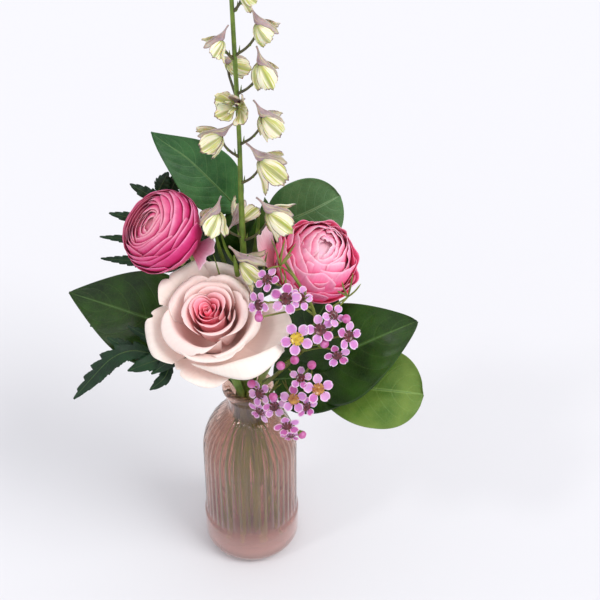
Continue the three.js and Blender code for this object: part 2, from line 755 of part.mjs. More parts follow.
// A frond: its rachis is a stem of the ring; each pinna runs from a share of it to its own tip.
function fernFrond({ standing, path, pinnae, up, width, teeth }) {
  const curve = new THREE.CatmullRomCurve3([ringPoints(standing)[1], ...path], false, "centripetal");
  const parts = [stem(standing, path, 0.5)];
  for (const [share, tip] of pinnae) {
    const root = curve.getPointAt(share);
    const reach = tip.clone().sub(root);
    const length = reach.length();
    const arch = (x) => (0.25 * x * (length - x)) / length;
    parts.push(lay(plate(pinnaOutline(length, width, teeth), arch), root, reach, up));
  }
  return fuse(parts);
}

const FERN_LOW = {
  standing: RING.fernLow,
  path: [v(-13, -3, 166), v(-32, -12, 180), v(-58, -20, 190), v(-86, -24, 188), v(-112, -24, 170)],
  up: v(-0.1, -0.6, 0.8),
  width: 9,
  teeth: 2,
  pinnae: [
    [0.4, v(-46, -28, 178)], [0.52, v(-66, -33, 180)], [0.68, v(-86, -34, 178)], [0.8, v(-98, -32, 172)],
    [0.5, v(-60, -14, 200)], [0.6, v(-74, -16, 203)], [0.7, v(-88, -17, 201)], [0.8, v(-100, -18, 195)],
    [0.9, v(-110, -20, 184)], [0.96, v(-121, -24, 162)],
  ],
};
const FERN_BACK = {
  standing: RING.fernBack,
  path: [v(-3, 24, 190), v(-20, 38, 232), v(-42, 42, 268), v(-58, 40, 298)],
  up: v(0.1, -0.8, 0.6),
  width: 11,
  teeth: 3,
  pinnae: [
    [0.3, v(-80, 40, 205)], [0.5, v(-98, 34, 246)], [0.7, v(-90, 34, 282)], [0.88, v(-75, 38, 304)],
    [0.98, v(-60, 42, 318)], [0.85, v(-42, 44, 312)], [0.65, v(-22, 46, 296)], [0.45, v(8, 52, 256)],
  ],
};

// ---------------------------------------------------------------- assembly

const PALE_STEM = "#8fa25a";
const DARK_GREEN = "#2f5a2c";
const LILAC = "#c78ac2";
const GLASS = { transparent: true, opacity: 0.5 };

// Seats a bloom, modelled along +Z from its receptacle, in its place.
function seated(node, place) {
  node.position.copy(place.seat);
  node.quaternion.copy(facing(place));
  return node;
}

const holder = new THREE.Group();
holder.name = "holder";
holder.add(toNode("vase", vase(), "#c48e8c", 0.2, GLASS));
holder.add(toNode("water", water(), "#dfe8dc", 0.1, { transparent: true, opacity: 0.3 }));

const stems = new THREE.Group();
stems.name = "stems";
stems.add(toNode("rose_stem", roseStem(), "#5f7f3a", 0.6));
stems.add(toNode(
  "ranunculus_left_stem",
  ranunculusStem(RING.ranunculusLeft, RANUNCULUS_LEFT, [v(-12, 14, 180), v(-26, 22, 225)]),
  PALE_STEM, 0.6,
));
stems.add(toNode(
  "ranunculus_right_stem",
  ranunculusStem(RING.ranunculusRight, RANUNCULUS_RIGHT, [v(16, 6, 175), v(30, 12, 210)]),
  PALE_STEM, 0.6,
));

const blooms = new THREE.Group();
blooms.name = "blooms";
blooms.add(seated(toNode("rose_bloom", roseBloom(), "#f4c9c6", 0.6), ROSE));
blooms.add(seated(
  toNode("ranunculus_left_bloom", ranunculusBloom(RANUNCULUS_LEFT.radius, 1), "#dd5a94", 0.6),
  RANUNCULUS_LEFT,
));
blooms.add(seated(
  toNode("ranunculus_right_bloom", ranunculusBloom(RANUNCULUS_RIGHT.radius, 1.6), "#ee7fae", 0.6),
  RANUNCULUS_RIGHT,
));

const sprays = new THREE.Group();
sprays.name = "sprays";
sprays.add(toNode("delphinium_spike", delphinium(), "#c9cf9a", 0.6));
sprays.add(toNode("waxflower_front", waxSpray(WAX_FRONT, 5), LILAC, 0.6));
sprays.add(toNode("waxflower_upper", waxSpray(WAX_UPPER, 9), LILAC, 0.6));

const foliage = new THREE.Group();
foliage.name = "foliage";
foliage.add(toNode("salal_back", salalStem(SALAL_BACK), DARK_GREEN, 0.45));
foliage.add(toNode("salal_left", salalStem(SALAL_LEFT), DARK_GREEN, 0.45));
foliage.add(toNode("salal_right", salalStem(SALAL_RIGHT), DARK_GREEN, 0.45));
foliage.add(toNode("fern_low", fernFrond(FERN_LOW), DARK_GREEN, 0.6));
foliage.add(toNode("fern_back", fernFrond(FERN_BACK), DARK_GREEN, 0.6));

const group = new THREE.Group();
group.name = "rose_in_vase";
group.add(holder, stems, blooms, sprays, foliage);

export default group;
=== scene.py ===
"""The looks of the rose in a vase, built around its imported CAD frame.

Lengths are in millimetres until a piece is made, and metres from there on. The bloom seats, stem
paths and leaf tips follow the named values of the part's own source, so each piece lies where its
CAD node is.
"""
import math
import bpy
import numpy as np
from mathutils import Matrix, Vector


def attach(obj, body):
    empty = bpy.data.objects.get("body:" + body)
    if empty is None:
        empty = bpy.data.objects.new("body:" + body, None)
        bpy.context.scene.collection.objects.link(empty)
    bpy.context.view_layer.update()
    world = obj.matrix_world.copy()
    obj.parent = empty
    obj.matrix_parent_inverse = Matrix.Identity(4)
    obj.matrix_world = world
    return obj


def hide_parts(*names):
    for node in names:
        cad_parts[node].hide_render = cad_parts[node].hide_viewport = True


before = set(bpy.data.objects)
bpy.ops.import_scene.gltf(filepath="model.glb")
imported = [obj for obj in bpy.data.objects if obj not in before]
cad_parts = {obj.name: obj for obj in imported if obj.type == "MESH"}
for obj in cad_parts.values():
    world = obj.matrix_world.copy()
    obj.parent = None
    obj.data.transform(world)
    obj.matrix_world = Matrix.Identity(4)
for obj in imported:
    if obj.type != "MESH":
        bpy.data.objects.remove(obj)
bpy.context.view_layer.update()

MM = 0.001
GAP = 0.3  # the clearance between neighbouring pieces
GRAIN = "grain"  # on each corner: share across, share along, and the petal's or leaf's own chance
TONE = "tone"  # on each corner: 0 at the heart of a bloom to 1 at its outermost petals


# ---------------------------------------------------------------- vectors and curves

def vec(*numbers):
    return np.array(numbers, float)


UP = vec(0, 0, 1)


def unit(vector):
    vector = np.asarray(vector, float)
    return vector / np.linalg.norm(vector, axis=-1, keepdims=True)


def smooth(low, high, value):
    share = np.clip((value - low) / (high - low), 0, 1)
    return share * share * (3 - 2 * share)


def cubic(t, start, leave, arrive, end):
    """A cubic Bezier curve at t: the whole point, or one coordinate of it."""
    back = 1 - t
    return start * back ** 3 + 3 * leave * t * back ** 2 + 3 * arrive * t ** 2 * back + end * t ** 3


CURVE_STEPS = 24  # fine steps between two of the points that a curve is given by


def smooth_path(points, count):
    """Evenly spaced points on the centripetal Catmull-Rom curve through the given points."""
    points = np.asarray(points, float)
    ends = [2 * points[0] - points[1], *points, 2 * points[-1] - points[-2]]
    share = np.linspace(0, 1, CURVE_STEPS + 1)[:-1, None]
    fine = []
    for before, start, end, after in zip(ends, ends[1:], ends[2:], ends[3:]):
        first, middle, last = (np.linalg.norm(b - a) ** 0.5 for a, b in
                               ((before, start), (start, end), (end, after)))
        leave = ((start - before) / first - (end - before) / (first + middle)) * middle + end - start
        arrive = ((after - end) / last - (after - start) / (middle + last)) * middle + end - start
        fine.append(cubic(share, start, start + leave / 3, end - arrive / 3, end))
    fine = np.vstack([*fine, points[-1:]])
    reached = np.concatenate([[0], np.cumsum(np.linalg.norm(np.diff(fine, axis=0), axis=1))])
    wanted = np.linspace(0, reached[-1], count)
    return np.stack([np.interp(wanted, reached, column) for column in fine.T], axis=1)


def bezier(ends, t):
    """The two coordinates of a cubic Bezier curve at t."""
    return tuple(cubic(t, *column) for column in np.asarray(ends, float).T)


def on_line(line, share):
    """The places on an evenly spaced line at those shares of its length."""
    known = np.linspace(0, 1, len(line))
    return np.stack([np.interp(share, known, column) for column in line.T], axis=-1)


def facing(axis, turn=0.0):
    """The rotation that makes what is modelled along +Z face along axis, after a turn in degrees."""
    x, y, z = unit(axis)
    k = 1 / (1 + z)
    swing = np.array([[1 - k * x * x, -k * x * y, x], [-k * x * y, 1 - k * y * y, y], [-x, -y, z]])
    cos, sin = math.cos(math.radians(turn)), math.sin(math.radians(turn))
    return swing @ np.array([[cos, -sin, 0], [sin, cos, 0], [0, 0, 1]])


def upright(direction):
    """The rotation that makes what faces +Z face along direction, with its -Y side upwards."""
    forward = unit(direction)
    right = unit(np.cross([0, 0, 1], forward))
    down = np.cross(forward, right)
    return np.stack([-right, -down, forward], axis=1)


def around(radius, angle, height):
    return np.stack([radius * np.cos(angle), radius * np.sin(angle), height], axis=-1)


def outwards(out, sideways, angle, height):
    """Points so far out along the direction angle, and so far sideways from there."""
    return np.stack([out * np.cos(angle) - sideways * np.sin(angle),
                     out * np.sin(angle) + sideways * np.cos(angle), height], axis=-1)


def direction_at(azimuth, polar):
    """The direction that lies polar degrees off +Z, towards azimuth degrees from +X."""
    azimuth, polar = math.radians(azimuth), math.radians(polar)
    return around(math.sin(polar), azimuth, math.cos(polar))


def shifted(origin, *moves):
    """Points moved from origin; each move is an axis and how far each point goes along it."""
    for axis, far in moves:
        origin = origin + axis * far[..., None]
    return origin


# ---------------------------------------------------------------- meshes

def add_to_scene(name, data):
    made = bpy.data.objects.new(name, data)
    bpy.context.scene.collection.objects.link(made)
    return made


class Piece:
    """One piece's mesh as it grows. Each part of it is given in the frame set by place().

    The kind of a part is the place of its material in the list that make() is given.
    """

    def __init__(self):
        self.points, self.faces, self.grain, self.tone, self.kinds = [], [], [], [], []
        self.count = 0
        self.place()

    def place(self, origin=(0, 0, 0), rotation=None):
        self.origin = np.asarray(origin, float)
        self.rotation = np.eye(3) if rotation is None else rotation

    def add(self, points, faces, grain, tone=0.5, kind=0):
        points = np.asarray(points, float).reshape(-1, 3) @ self.rotation.T + self.origin
        self.faces += [[corner + self.count for corner in face] for face in faces]
        self.kinds += [kind] * len(faces)
        self.points.append(points)
        self.grain.append(np.asarray(grain, float).reshape(-1, 3))
        self.tone.append(np.full(len(points), tone, float))
        self.count += len(points)

    def make(self, name, node, slot, materials):
        """Makes the object, which rides on the root body and stands for its CAD node."""
        mesh = bpy.data.meshes.new(name)
        mesh.from_pydata((np.vstack(self.points) * MM).tolist(), [], self.faces)
        for material in materials:
            mesh.materials.append(material)
        mesh.polygons.foreach_set("material_index", self.kinds)
        mesh.polygons.foreach_set("use_smooth", [True] * len(self.faces))
        grain = mesh.attributes.new(GRAIN, "FLOAT_VECTOR", "POINT")
        grain.data.foreach_set("vector", np.vstack(self.grain).ravel())
        tone = mesh.attributes.new(TONE, "FLOAT", "POINT")
        tone.data.foreach_set("value", np.concatenate(self.tone))
        mesh.update()
        piece = add_to_scene(name, mesh)
        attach(piece, "root")
        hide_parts(node)


def grid_faces(rows, columns, closed=False):
    """Quads over a grid of points; a closed grid joins its last column to its first."""
    index = np.arange(rows * columns).reshape(rows, columns)
    if closed:
        index = np.hstack([index, index[:, :1]])
    corners = [index[:-1, :-1], index[:-1, 1:], index[1:, 1:], index[1:, :-1]]
    return np.stack(corners, axis=-1).reshape(-1, 4)


def add_sheet(piece, surface, across, along, thickness, tone=0.5, chance=0.5, kind=0, thin=0.5):
    """A closed thin sheet over surface(s, t), with s from -1 to 1 and t from 0 to 1.

    thin is how thick its rim is, as a share of its thickness.
    """
    s, t = np.meshgrid(np.linspace(-1, 1, across + 1), np.linspace(0, 1, along + 1))
    middle = surface(s, t)
    normal = unit(np.cross(np.gradient(middle, axis=1), np.gradient(middle, axis=0)) + 1e-12)
    edge = np.maximum(smooth(0.7, 1, np.abs(s)), smooth(0.8, 1, t))
    offset = normal * (thickness / 2 * (1 - (1 - thin) * edge))[..., None]
    front = grid_faces(along + 1, across + 1)
    half = s.size
    index = np.arange(half).reshape(s.shape)
    rim = np.concatenate([index[0, :-1], index[:-1, -1], index[-1, :0:-1], index[:0:-1, 0]])
    ahead = np.roll(rim, -1)
    sides = np.stack([rim + half, ahead + half, ahead, rim], axis=1)
    faces = np.vstack([front, front[:, ::-1] + half, sides]).tolist()
    grain = np.stack([(s + 1) / 2, t, np.full(s.shape, chance)], axis=-1).reshape(-1, 3)
    piece.add(np.stack([middle + offset, middle - offset]), faces, np.vstack([grain, grain]), tone, kind)


ASKEW = (0.31, 0.92, 0.23)  # a direction that no rod starts along


def add_tube(piece, centres, radii, sides, chance=0.5, kind=0):
    """A closed round rod through the centres."""
    centres = np.asarray(centres, float)
    radii = np.broadcast_to(np.asarray(radii, float), len(centres))
    along = unit(np.gradient(centres, axis=0))
    side = np.cross(along[0], ASKEW)
    rings = []
    angles = np.linspace(0, 2 * math.pi, sides, endpoint=False)[:, None]
    for centre, radius, ahead in zip(centres, radii, along):
        side = unit(side - ahead * side.dot(ahead))
        rings.append(centre + radius * (np.cos(angles) * side + np.sin(angles) * np.cross(ahead, side)))
    faces = grid_faces(len(centres), sides, closed=True).tolist()
    first = (len(centres) - 1) * sides
    faces += [list(range(sides))[::-1], list(range(first, first + sides))]
    share = np.linspace(0, 1, len(centres))[:, None] * np.ones(sides)
    turn = np.ones(len(centres))[:, None] * np.arange(sides) / sides
    grain = np.stack([turn, share, np.full(turn.shape, chance)], axis=-1)
    piece.add(rings, faces, grain, kind=kind)


def add_turned(piece, profile, sides, shape=None, tone=0.5, kind=0):
    """A body turned about +Z from [radius, height] points whose two ends are on the axis."""
    profile = np.asarray(profile, float)
    angle = np.linspace(0, 2 * math.pi, sides, endpoint=False)
    radius, angle = np.meshgrid(profile[1:-1, 0], angle, indexing="ij")
    height = profile[1:-1, 1][:, None] * np.ones(sides)
    if shape:
        radius, height = shape(radius, height, angle)
    rows = len(profile) - 2
    ends = [[0, 0, profile[0, 1]], [0, 0, profile[-1, 1]]]
    points = np.vstack([around(radius, angle, height).reshape(-1, 3), ends])
    faces = grid_faces(rows, sides, closed=True).tolist()
    low, high = rows * sides, rows * sides + 1
    last = (rows - 1) * sides
    for k in range(sides):
        ahead = (k + 1) % sides
        faces += [[low, ahead, k], [high, last + k, last + ahead]]
    share = np.repeat(np.linspace(0, 1, rows), sides)
    grain = np.stack([angle.ravel() / (2 * math.pi), share, np.full(share.shape, 0.5)], axis=-1)
    grain = np.vstack([grain, [0.5, 0, 0.5], [0.5, 1, 0.5]])
    piece.add(points, faces, grain, tone, kind)


# ---------------------------------------------------------------- materials

def srgb(red, green, blue):
    """A colour as seen on screen, 0 to 255, as the linear colour that a socket takes."""
    shares = [channel / 255 for channel in (red, green, blue)]
    linear = [c / 12.92 if c <= 0.04045 else ((c + 0.055) / 1.055) ** 2.4 for c in shares]
    return (*linear, 1.0)


class Nodes:
    """A material's node tree, with one short call for each kind of node used here.

    What goes into a node is a number, a colour as seen on screen, or another node's socket.
    """

    def __init__(self, name, **constants):
        self.material = bpy.data.materials.new(name)
        self.material.use_nodes = True
        self.tree = self.material.node_tree
        self.shader = self.tree.nodes["Principled BSDF"]
        for socket, value in constants.items():
            self.shader.inputs[socket.replace("_", " ")].default_value = value

    def put(self, socket, value):
        if isinstance(value, bpy.types.NodeSocket):
            self.tree.links.new(value, socket)
        elif isinstance(value, tuple):
            socket.default_value = srgb(*value)
        else:
            socket.default_value = value

    def surface(self, socket, value):
        self.put(self.shader.inputs[socket], value)

    def node(self, kind, *inputs, **settings):
        """A node whose first inputs are given in their order."""
        made = self.tree.nodes.new(kind)
        for name, value in settings.items():
            setattr(made, name, value)
        for socket, value in zip(made.inputs, inputs):
            self.put(socket, value)
        return made

    def named(self, kind, inputs, **settings):
        """The outputs of a node whose inputs are given by name."""
        made = self.node(kind, **settings)
        for name, value in inputs.items():
            self.put(made.inputs[name], value)
        return made.outputs

    def math(self, operation, *values):
        return self.node("ShaderNodeMath", *values, operation=operation).outputs[0]

    def times(self, value, factor, plus=0.0):
        return self.math("MULTIPLY_ADD", value, factor, plus)

    def grain(self):
        """The sockets of the share across, the share along and the chance."""
        read = self.node("ShaderNodeAttribute", attribute_name=GRAIN)
        return self.node("ShaderNodeSeparateXYZ", read.outputs["Vector"]).outputs

    def tone(self):
        return self.node("ShaderNodeAttribute", attribute_name=TONE).outputs["Fac"]

    def place(self):
        return self.node("ShaderNodeTexCoord").outputs["Object"]

    def height(self):
        """The height above the vase's foot, in metres."""
        return self.node("ShaderNodeSeparateXYZ", self.place()).outputs["Z"]

    def off_middle(self, across):
        """0 on the middle line of a petal or leaf, to 1 at its two edges."""
        return self.math("ABSOLUTE", self.times(across, 2.0, -1.0))

    def noise(self, place, scale, detail=3.0, rough=0.5):
        inputs = {"Vector": place, "Scale": scale, "Detail": detail, "Roughness": rough}
        return self.named("ShaderNodeTexNoise", inputs)["Fac"]

    def streaks(self, grain, scales, *noise):
        """Noise drawn out along a petal or stem; scales are for its share across, along and chance."""
        drawn = [self.times(share, scale) for share, scale in zip(grain, scales)]
        return self.noise(self.node("ShaderNodeCombineXYZ", *drawn).outputs[0], *noise)

    def cells(self, place, scale):
        inputs = {"Vector": place, "Scale": scale}
        return self.named("ShaderNodeTexVoronoi", inputs, feature="DISTANCE_TO_EDGE")["Distance"]

    def between(self, value, low, high):
        """0 below low, 1 above high, smooth between; high may be the lower one."""
        inputs = {"Value": value, "From Min": low, "From Max": high}
        return self.named("ShaderNodeMapRange", inputs, interpolation_type="SMOOTHSTEP")["Result"]

    def ramp(self, factor, *stops):
        """stops are (position, colour)."""
        made = self.node("ShaderNodeValToRGB", factor)
        points = made.color_ramp.elements
        while len(points) < len(stops):
            points.new(0.5)
        for point, (position, colour) in zip(points, stops):
            point.position = position
            point.color = srgb(*colour)
        return made.outputs["Color"]

    def mix(self, factor, first, second, blend="MIX"):
        """The two colours mixed, on the sockets that this node keeps for colours."""
        made = self.node("ShaderNodeMix", factor, data_type="RGBA", blend_type=blend)
        self.put(made.inputs[6], first)
        self.put(made.inputs[7], second)
        return made.outputs[2]

    def bump(self, height, strength, distance=0.0003):
        inputs = {"Strength": strength, "Distance": distance, "Height": height}
        self.surface("Normal", self.named("ShaderNodeBump", inputs)["Normal"])

    def colour(self, value):
        self.surface("Base Color", value)

    def roughness(self, value):
        self.surface("Roughness", value)


def glass_material():
    """Pink glass: cloudier towards its foot, and a little browner towards its neck, which is painted
    reflection and a painted stand-in for the green stems seen through the dome.
    """
    n = Nodes("vase_glass", IOR=1.24, Coat_Weight=1.0, Coat_IOR=1.5, Coat_Roughness=0.05)
    height = n.height()
    # browner from 2 cm up to 12 cm: painted reflection and a stand-in for the stems seen through the dome
    n.colour(n.mix(n.between(height, 0.02, 0.12), (234, 187, 178), (222, 184, 168)))
    n.surface("Transmission Weight", n.times(n.between(height, 0.012, 0.05), 0.35, 0.61))
    n.roughness(n.times(n.noise(n.place(), 90.0), 0.06, 0.03))
    n.bump(n.noise(n.place(), 60.0, 2.0), 0.15, 0.0004)
    return n.material


def water_material():
    n = Nodes("water", Transmission_Weight=1.0, IOR=1.12, Roughness=0.02)
    n.colour((252, 253, 248))
    n.bump(n.noise(n.place(), 45.0, 1.0), 0.05)
    return n.material


def stem_material(name, young, old, cut):
    """A green stem: long stripes, soft blotches, a pale cut end, and a lighter, yellower green under
    water, which is painted light that makes up for the shade and pink tint of the glass around it.
    """
    n = Nodes(name, Specular_IOR_Level=0.4, Subsurface_Weight=0.15, Subsurface_Scale=0.001)
    grain = n.grain()
    lines = n.streaks(grain, (14.0, 3.0, 0.0), 2.0)
    blotches = n.noise(n.place(), 130.0)
    green = n.ramp(n.times(lines, 0.35, n.times(blotches, 0.65)), (0.3, old), (0.62, young))
    # lighter, yellower green below the water line: painted light for the stems in the glass's shade
    green = n.mix(n.between(n.height(), 0.135, 0.115), green, (150, 196, 44))
    n.colour(n.mix(n.between(grain[1], 0.0, 0.012), cut, green))
    n.roughness(n.times(blotches, 0.25, 0.35))
    n.bump(lines, 0.5)
    return n.material


def petal_material(name, heart, outer, veins, glow, roughness=0.5, depth=0.001):
    """Petals: heart and outer give (share, colour) from base to rim, mixed by how far out a petal is."""
    n = Nodes(name, Specular_IOR_Level=0.3, Subsurface_Weight=glow, Subsurface_Scale=depth,
              Subsurface_Radius=(1.0, 0.6, 0.5), Sheen_Weight=0.05, Sheen_Roughness=0.4)
    grain = n.grain()
    vein = n.streaks(grain, (26.0, 1.6, 9.0), 1.0, 3.0, 0.6)
    blotch = n.noise(n.place(), 70.0)
    spread = n.math("ADD", grain[1], n.times(blotch, 0.24, -0.12))
    base = n.mix(n.tone(), n.ramp(spread, *heart), n.ramp(spread, *outer))
    shade = n.ramp(vein, (0.3, (222, 206, 210)), (0.6, (255, 255, 255)))
    n.colour(n.mix(0.45 * veins, base, n.mix(1.0, base, shade, "MULTIPLY")))
    n.roughness(n.times(vein, 0.2, roughness - 0.1))
    n.bump(vein, 0.35 * veins, 0.0004)
    return n.material


def leaf_material(name, dark, light, rib, roughness, side_veins=8.0, veins=0.16):
    """A glossy leaf: pale midrib, arching side veins, a fine net between them and soft blotches."""
    n = Nodes(name, Specular_IOR_Level=0.3, Coat_Weight=0.06, Coat_Roughness=0.25,
              Subsurface_Weight=0.08, Subsurface_Scale=0.001)
    across, along, chance = n.grain()
    side = n.off_middle(across)
    arch = n.times(n.math("POWER", side, 1.4), -0.32, along)
    turns = n.math("FRACT", n.times(arch, side_veins, n.times(chance, 0.6)))
    off_vein = n.math("ABSOLUTE", n.math("SUBTRACT", turns, 0.5))
    vein = n.times(n.between(off_vein, 0.075, 0.02), n.between(side, 0.98, 0.6))
    midrib = n.between(side, 0.055, 0.02)
    net = n.between(n.cells(n.place(), 420.0), 0.09, 0.02)
    blotch = n.noise(n.place(), 55.0, 4.0)
    green = n.ramp(blotch, (0.32, dark), (0.68, light))
    for drawn, strength in ((net, 0.08), (vein, veins), (midrib, 0.6)):
        green = n.mix(n.times(drawn, strength), green, rib)
    n.colour(green)
    n.roughness(n.times(blotch, 0.3, roughness - 0.1))
    n.bump(n.times(vein, -0.6, n.times(net, -0.25, n.times(blotch, 0.3))), 0.4, 0.0005)
    return n.material


def floret_material():
    """Delphinium sepals: cream and lime with green veins, and mauve on the spurs and hoods."""
    n = Nodes("delphinium_sepal", Specular_IOR_Level=0.3, Subsurface_Weight=0.25,
              Subsurface_Scale=0.0012, Sheen_Weight=0.2)
    across, along, chance = n.grain()
    side = n.off_middle(across)
    stripes = n.streaks((across, along, chance), (11.0, 1.0, 7.0), 1.0, 2.0)
    mottle = n.noise(n.place(), 160.0)
    cream = n.mix(n.between(stripes, 0.46, 0.64), (244, 238, 210), (198, 202, 108))
    green = n.math("MAXIMUM", n.between(side, 0.3, 0.05), n.between(along, 0.45, 0.05))
    cream = n.mix(n.times(green, 0.75), cream, (140, 152, 40))
    edge = n.math("MAXIMUM", n.between(along, 0.93, 0.99), n.between(side, 0.9, 0.98))
    cream = n.mix(n.times(edge, n.between(mottle, 0.35, 0.55)), cream, (112, 92, 90))
    mauve = n.ramp(mottle, (0.3, (122, 90, 106)), (0.7, (178, 152, 158)))
    mauve = n.mix(n.between(stripes, 0.5, 0.7), mauve, (196, 186, 160))
    n.colour(n.mix(n.times(n.tone(), n.times(n.between(along, 0.5, 1.0), -0.35, 1.0)), cream, mauve))
    n.roughness(n.times(mottle, 0.25, 0.4))
    n.bump(stripes, 0.4, 0.0004)
    return n.material


def wax_petal_material():
    """Waxflower petals: mauve with a pale edge and faint veins."""
    n = Nodes("waxflower_petal", Specular_IOR_Level=0.5, Subsurface_Weight=0.3, Subsurface_Scale=0.001)
    across, along, chance = n.grain()
    edge = n.math("MAXIMUM", n.between(n.off_middle(across), 0.62, 1.0), n.between(along, 0.78, 1.0))
    edge = n.math("MAXIMUM", edge, n.between(along, 0.2, 0.02))
    vein = n.streaks((across, along, chance), (12.0, 1.0, 1.0), 1.0)
    deep = n.ramp(n.times(chance, 0.6, n.times(vein, 0.4)),
                  (0.2, (186, 72, 150)), (0.5, (202, 130, 198)), (0.85, (214, 160, 204)))
    n.colour(n.mix(n.times(edge, 0.8), deep, (244, 220, 236)))
    n.roughness(n.times(vein, 0.2, 0.3))
    n.bump(vein, 0.3)
    return n.material


def grained_material(name, low, high, scale, roughness, **constants):
    """A plain surface with fine mottling."""
    n = Nodes(name, **constants)
    mottle = n.noise(n.place(), scale, 4.0)
    n.colour(n.ramp(mottle, (0.3, low), (0.7, high)))
    n.roughness(n.times(mottle, 0.2, roughness - 0.1))
    n.bump(mottle, 0.3)
    return n.material


# ---------------------------------------------------------------- vase and water

VASE_HEIGHT = 158.0
BAND_RADIUS = 35.0
BAND_TOP = 31.5
FOOT_ROUND = 11.0
BODY_RADIUS = 33.6
SHOULDER = 94.5
NECK_RADIUS = 14.0
NECK_BASE = 134.0
LIP_RADIUS = 18.0
RIBS = 40
RIB_DEPTH = 0.7
WALL = 3.0
FLOOR = 6.0  # how thick the glass is under the water
INNER_RADIUS = BAND_RADIUS - WALL - 1.4
INNER_ROUND = 7.0
MOUTH_RADIUS = 12.2
THROAT_RADIUS = 11.4
WATER_LEVEL = 123.0
WET = 0.1  # how far the water reaches into the glass, so that no air shows between them


def rounded_foot(radius, floor, bend, steps):
    angle = np.linspace(0, math.pi / 2, steps + 1)
    return np.stack([radius - bend + bend * np.sin(angle), floor + bend - bend * np.cos(angle)], axis=1)


def dome(inset, steps):
    """The dome from the straight body up to the neck, as [radius, height]."""
    full = math.acos((NECK_RADIUS + 1) / BODY_RADIUS)
    angle = np.linspace(0, full, steps + 1)
    lift = (NECK_BASE - SHOULDER) * np.sin(angle) / math.sin(full)
    return np.stack([BODY_RADIUS * np.cos(angle) - inset, SHOULDER + lift], axis=1)


def inner_wall(into, steps):
    """From the middle of the glass's floor up to its neck, but so far into the glass."""
    radius = INNER_RADIUS + into
    return np.vstack([
        [[0, FLOOR - into]],
        rounded_foot(radius, FLOOR - into, INNER_ROUND, 10),
        [[radius, 30], [radius, 60]],
        dome(WALL - into, steps),
    ])


def make_vase():
    outside = np.vstack([
        [[0, 0], [BAND_RADIUS - FOOT_ROUND - 4, 0]],
        rounded_foot(BAND_RADIUS, 0, FOOT_ROUND, 12),
        [[BAND_RADIUS, z] for z in (18, 26, BAND_TOP - 1.6)],
        [[BAND_RADIUS - 0.25, BAND_TOP - 0.3], [BODY_RADIUS + 0.5, BAND_TOP + 0.7]],
        [[BODY_RADIUS, z] for z in (BAND_TOP + 2, BAND_TOP + 4, BAND_TOP + 7, 55, 75)],
        dome(0, 26),
        [[NECK_RADIUS + 0.2, NECK_BASE + 1.2], [NECK_RADIUS, NECK_BASE + 3], [NECK_RADIUS + 0.1, 145],
         [NECK_RADIUS + 0.6, VASE_HEIGHT - 8], [NECK_RADIUS + 1.5, VASE_HEIGHT - 6.4]],
        [[LIP_RADIUS - inset, VASE_HEIGHT - below]
         for inset, below in ((0.7, 4.8), (0, 3.2), (0, 1.8), (0.7, 0.5), (2.2, 0))],
    ])
    inside = np.vstack([
        inner_wall(0, 20),
        [[THROAT_RADIUS, NECK_BASE + 1.5], [THROAT_RADIUS, VASE_HEIGHT - 8],
         [MOUTH_RADIUS - 0.4, VASE_HEIGHT - 2.5], [MOUTH_RADIUS + 0.6, VASE_HEIGHT - 0.6]],
    ])

    def ribs(radius, height, angle):
        shown = smooth(BAND_TOP + 1, BAND_TOP + 6, height)
        shown = shown * (1 - smooth(NECK_BASE - 5, NECK_BASE + 3, height))
        shown[len(outside) - 1:] = 0
        wave = -RIB_DEPTH + (RIB_DEPTH + 0.2) * np.abs(np.cos(angle * RIBS / 2))
        return radius + wave * shown, height

    piece = Piece()
    add_turned(piece, np.vstack([outside, inside[::-1]]), RIBS * 10, ribs)
    piece.make("glass_vase", "vase", "vase_glass", [glass_material()])


def make_water():
    wall = inner_wall(WET, 40)
    wall = wall[wall[:, 1] < WATER_LEVEL + 0.9]
    edge = wall[-1, 0]
    surface = [[edge - 0.7, WATER_LEVEL + 0.35], [edge - 1.6, WATER_LEVEL + 0.1],
               [edge - 3, WATER_LEVEL], [0, WATER_LEVEL]]
    piece = Piece()
    add_turned(piece, np.vstack([wall, surface]), 96)
    piece.make("still_water", "water", "water", [water_material()])


# ---------------------------------------------------------------- stems

STEM_RING = 7.2  # how far off the axis the stems pass the neck
FOOT_RING = 22.0  # how far off the axis they stand
RING_TWIST = math.radians(62)  # how far round the axis each one runs from the neck to its foot
NECK_PASS = 154.0
RING = {  # radius, and direction at the neck in degrees from +X
    "ranunculus_right": (2.3, 14), "salal_back": (1.7, 54), "fern_back": (1.3, 85),
    "ranunculus_left": (2.3, 122), "salal_left": (1.6, 161), "fern_low": (1.3, 192),
    "rose": (2.7, 232), "wax_front": (1.3, 272), "wax_upper": (1.4, 301), "salal_right": (1.7, 333),
}


def standing(name):
    """Radius of a stem, where its foot stands and where it passes the neck."""
    if name == "delphinium":
        return 3.0, vec(0, 0, FLOOR + GAP), vec(0, 0, NECK_PASS)
    radius, azimuth = RING[name]
    neck = math.radians(azimuth)
    low = FLOOR + GAP + radius * math.sin(math.atan(FOOT_RING / NECK_PASS))
    return radius, around(FOOT_RING, neck + RING_TWIST, low), around(STEM_RING, neck, NECK_PASS)


def beyond_neck(name, path, count=200):
    """The stem's centre line from the neck on."""
    return smooth_path([standing(name)[2], *path], count)


def add_stem(piece, name, path, sides, taper=1.0, nodes=0):
    """A cut stem: straight through the water, then along its path; nodes are slight swellings."""
    radius, foot, neck = standing(name)
    low = foot + (neck - foot) * np.linspace(0, 1, 20)[:, None]
    high = beyond_neck(name, path, 14 * len(path))
    thinner = taper + (1 - taper) * np.linspace(1, 0, len(high)) ** 2
    radii = radius * np.concatenate([np.ones(len(low) - 1), thinner])
    share = np.linspace(0, 1, len(radii))
    radii = radii * (1 + 0.05 * np.sin(17 * share))
    for node in np.arange(nodes) / max(nodes, 1):
        radii = radii * (1 + 0.22 * np.exp(-((share - 0.18 - 0.7 * node) / 0.012) ** 2))
    add_tube(piece, np.vstack([low[:-1], high]), radii, sides)


# ---------------------------------------------------------------- rose

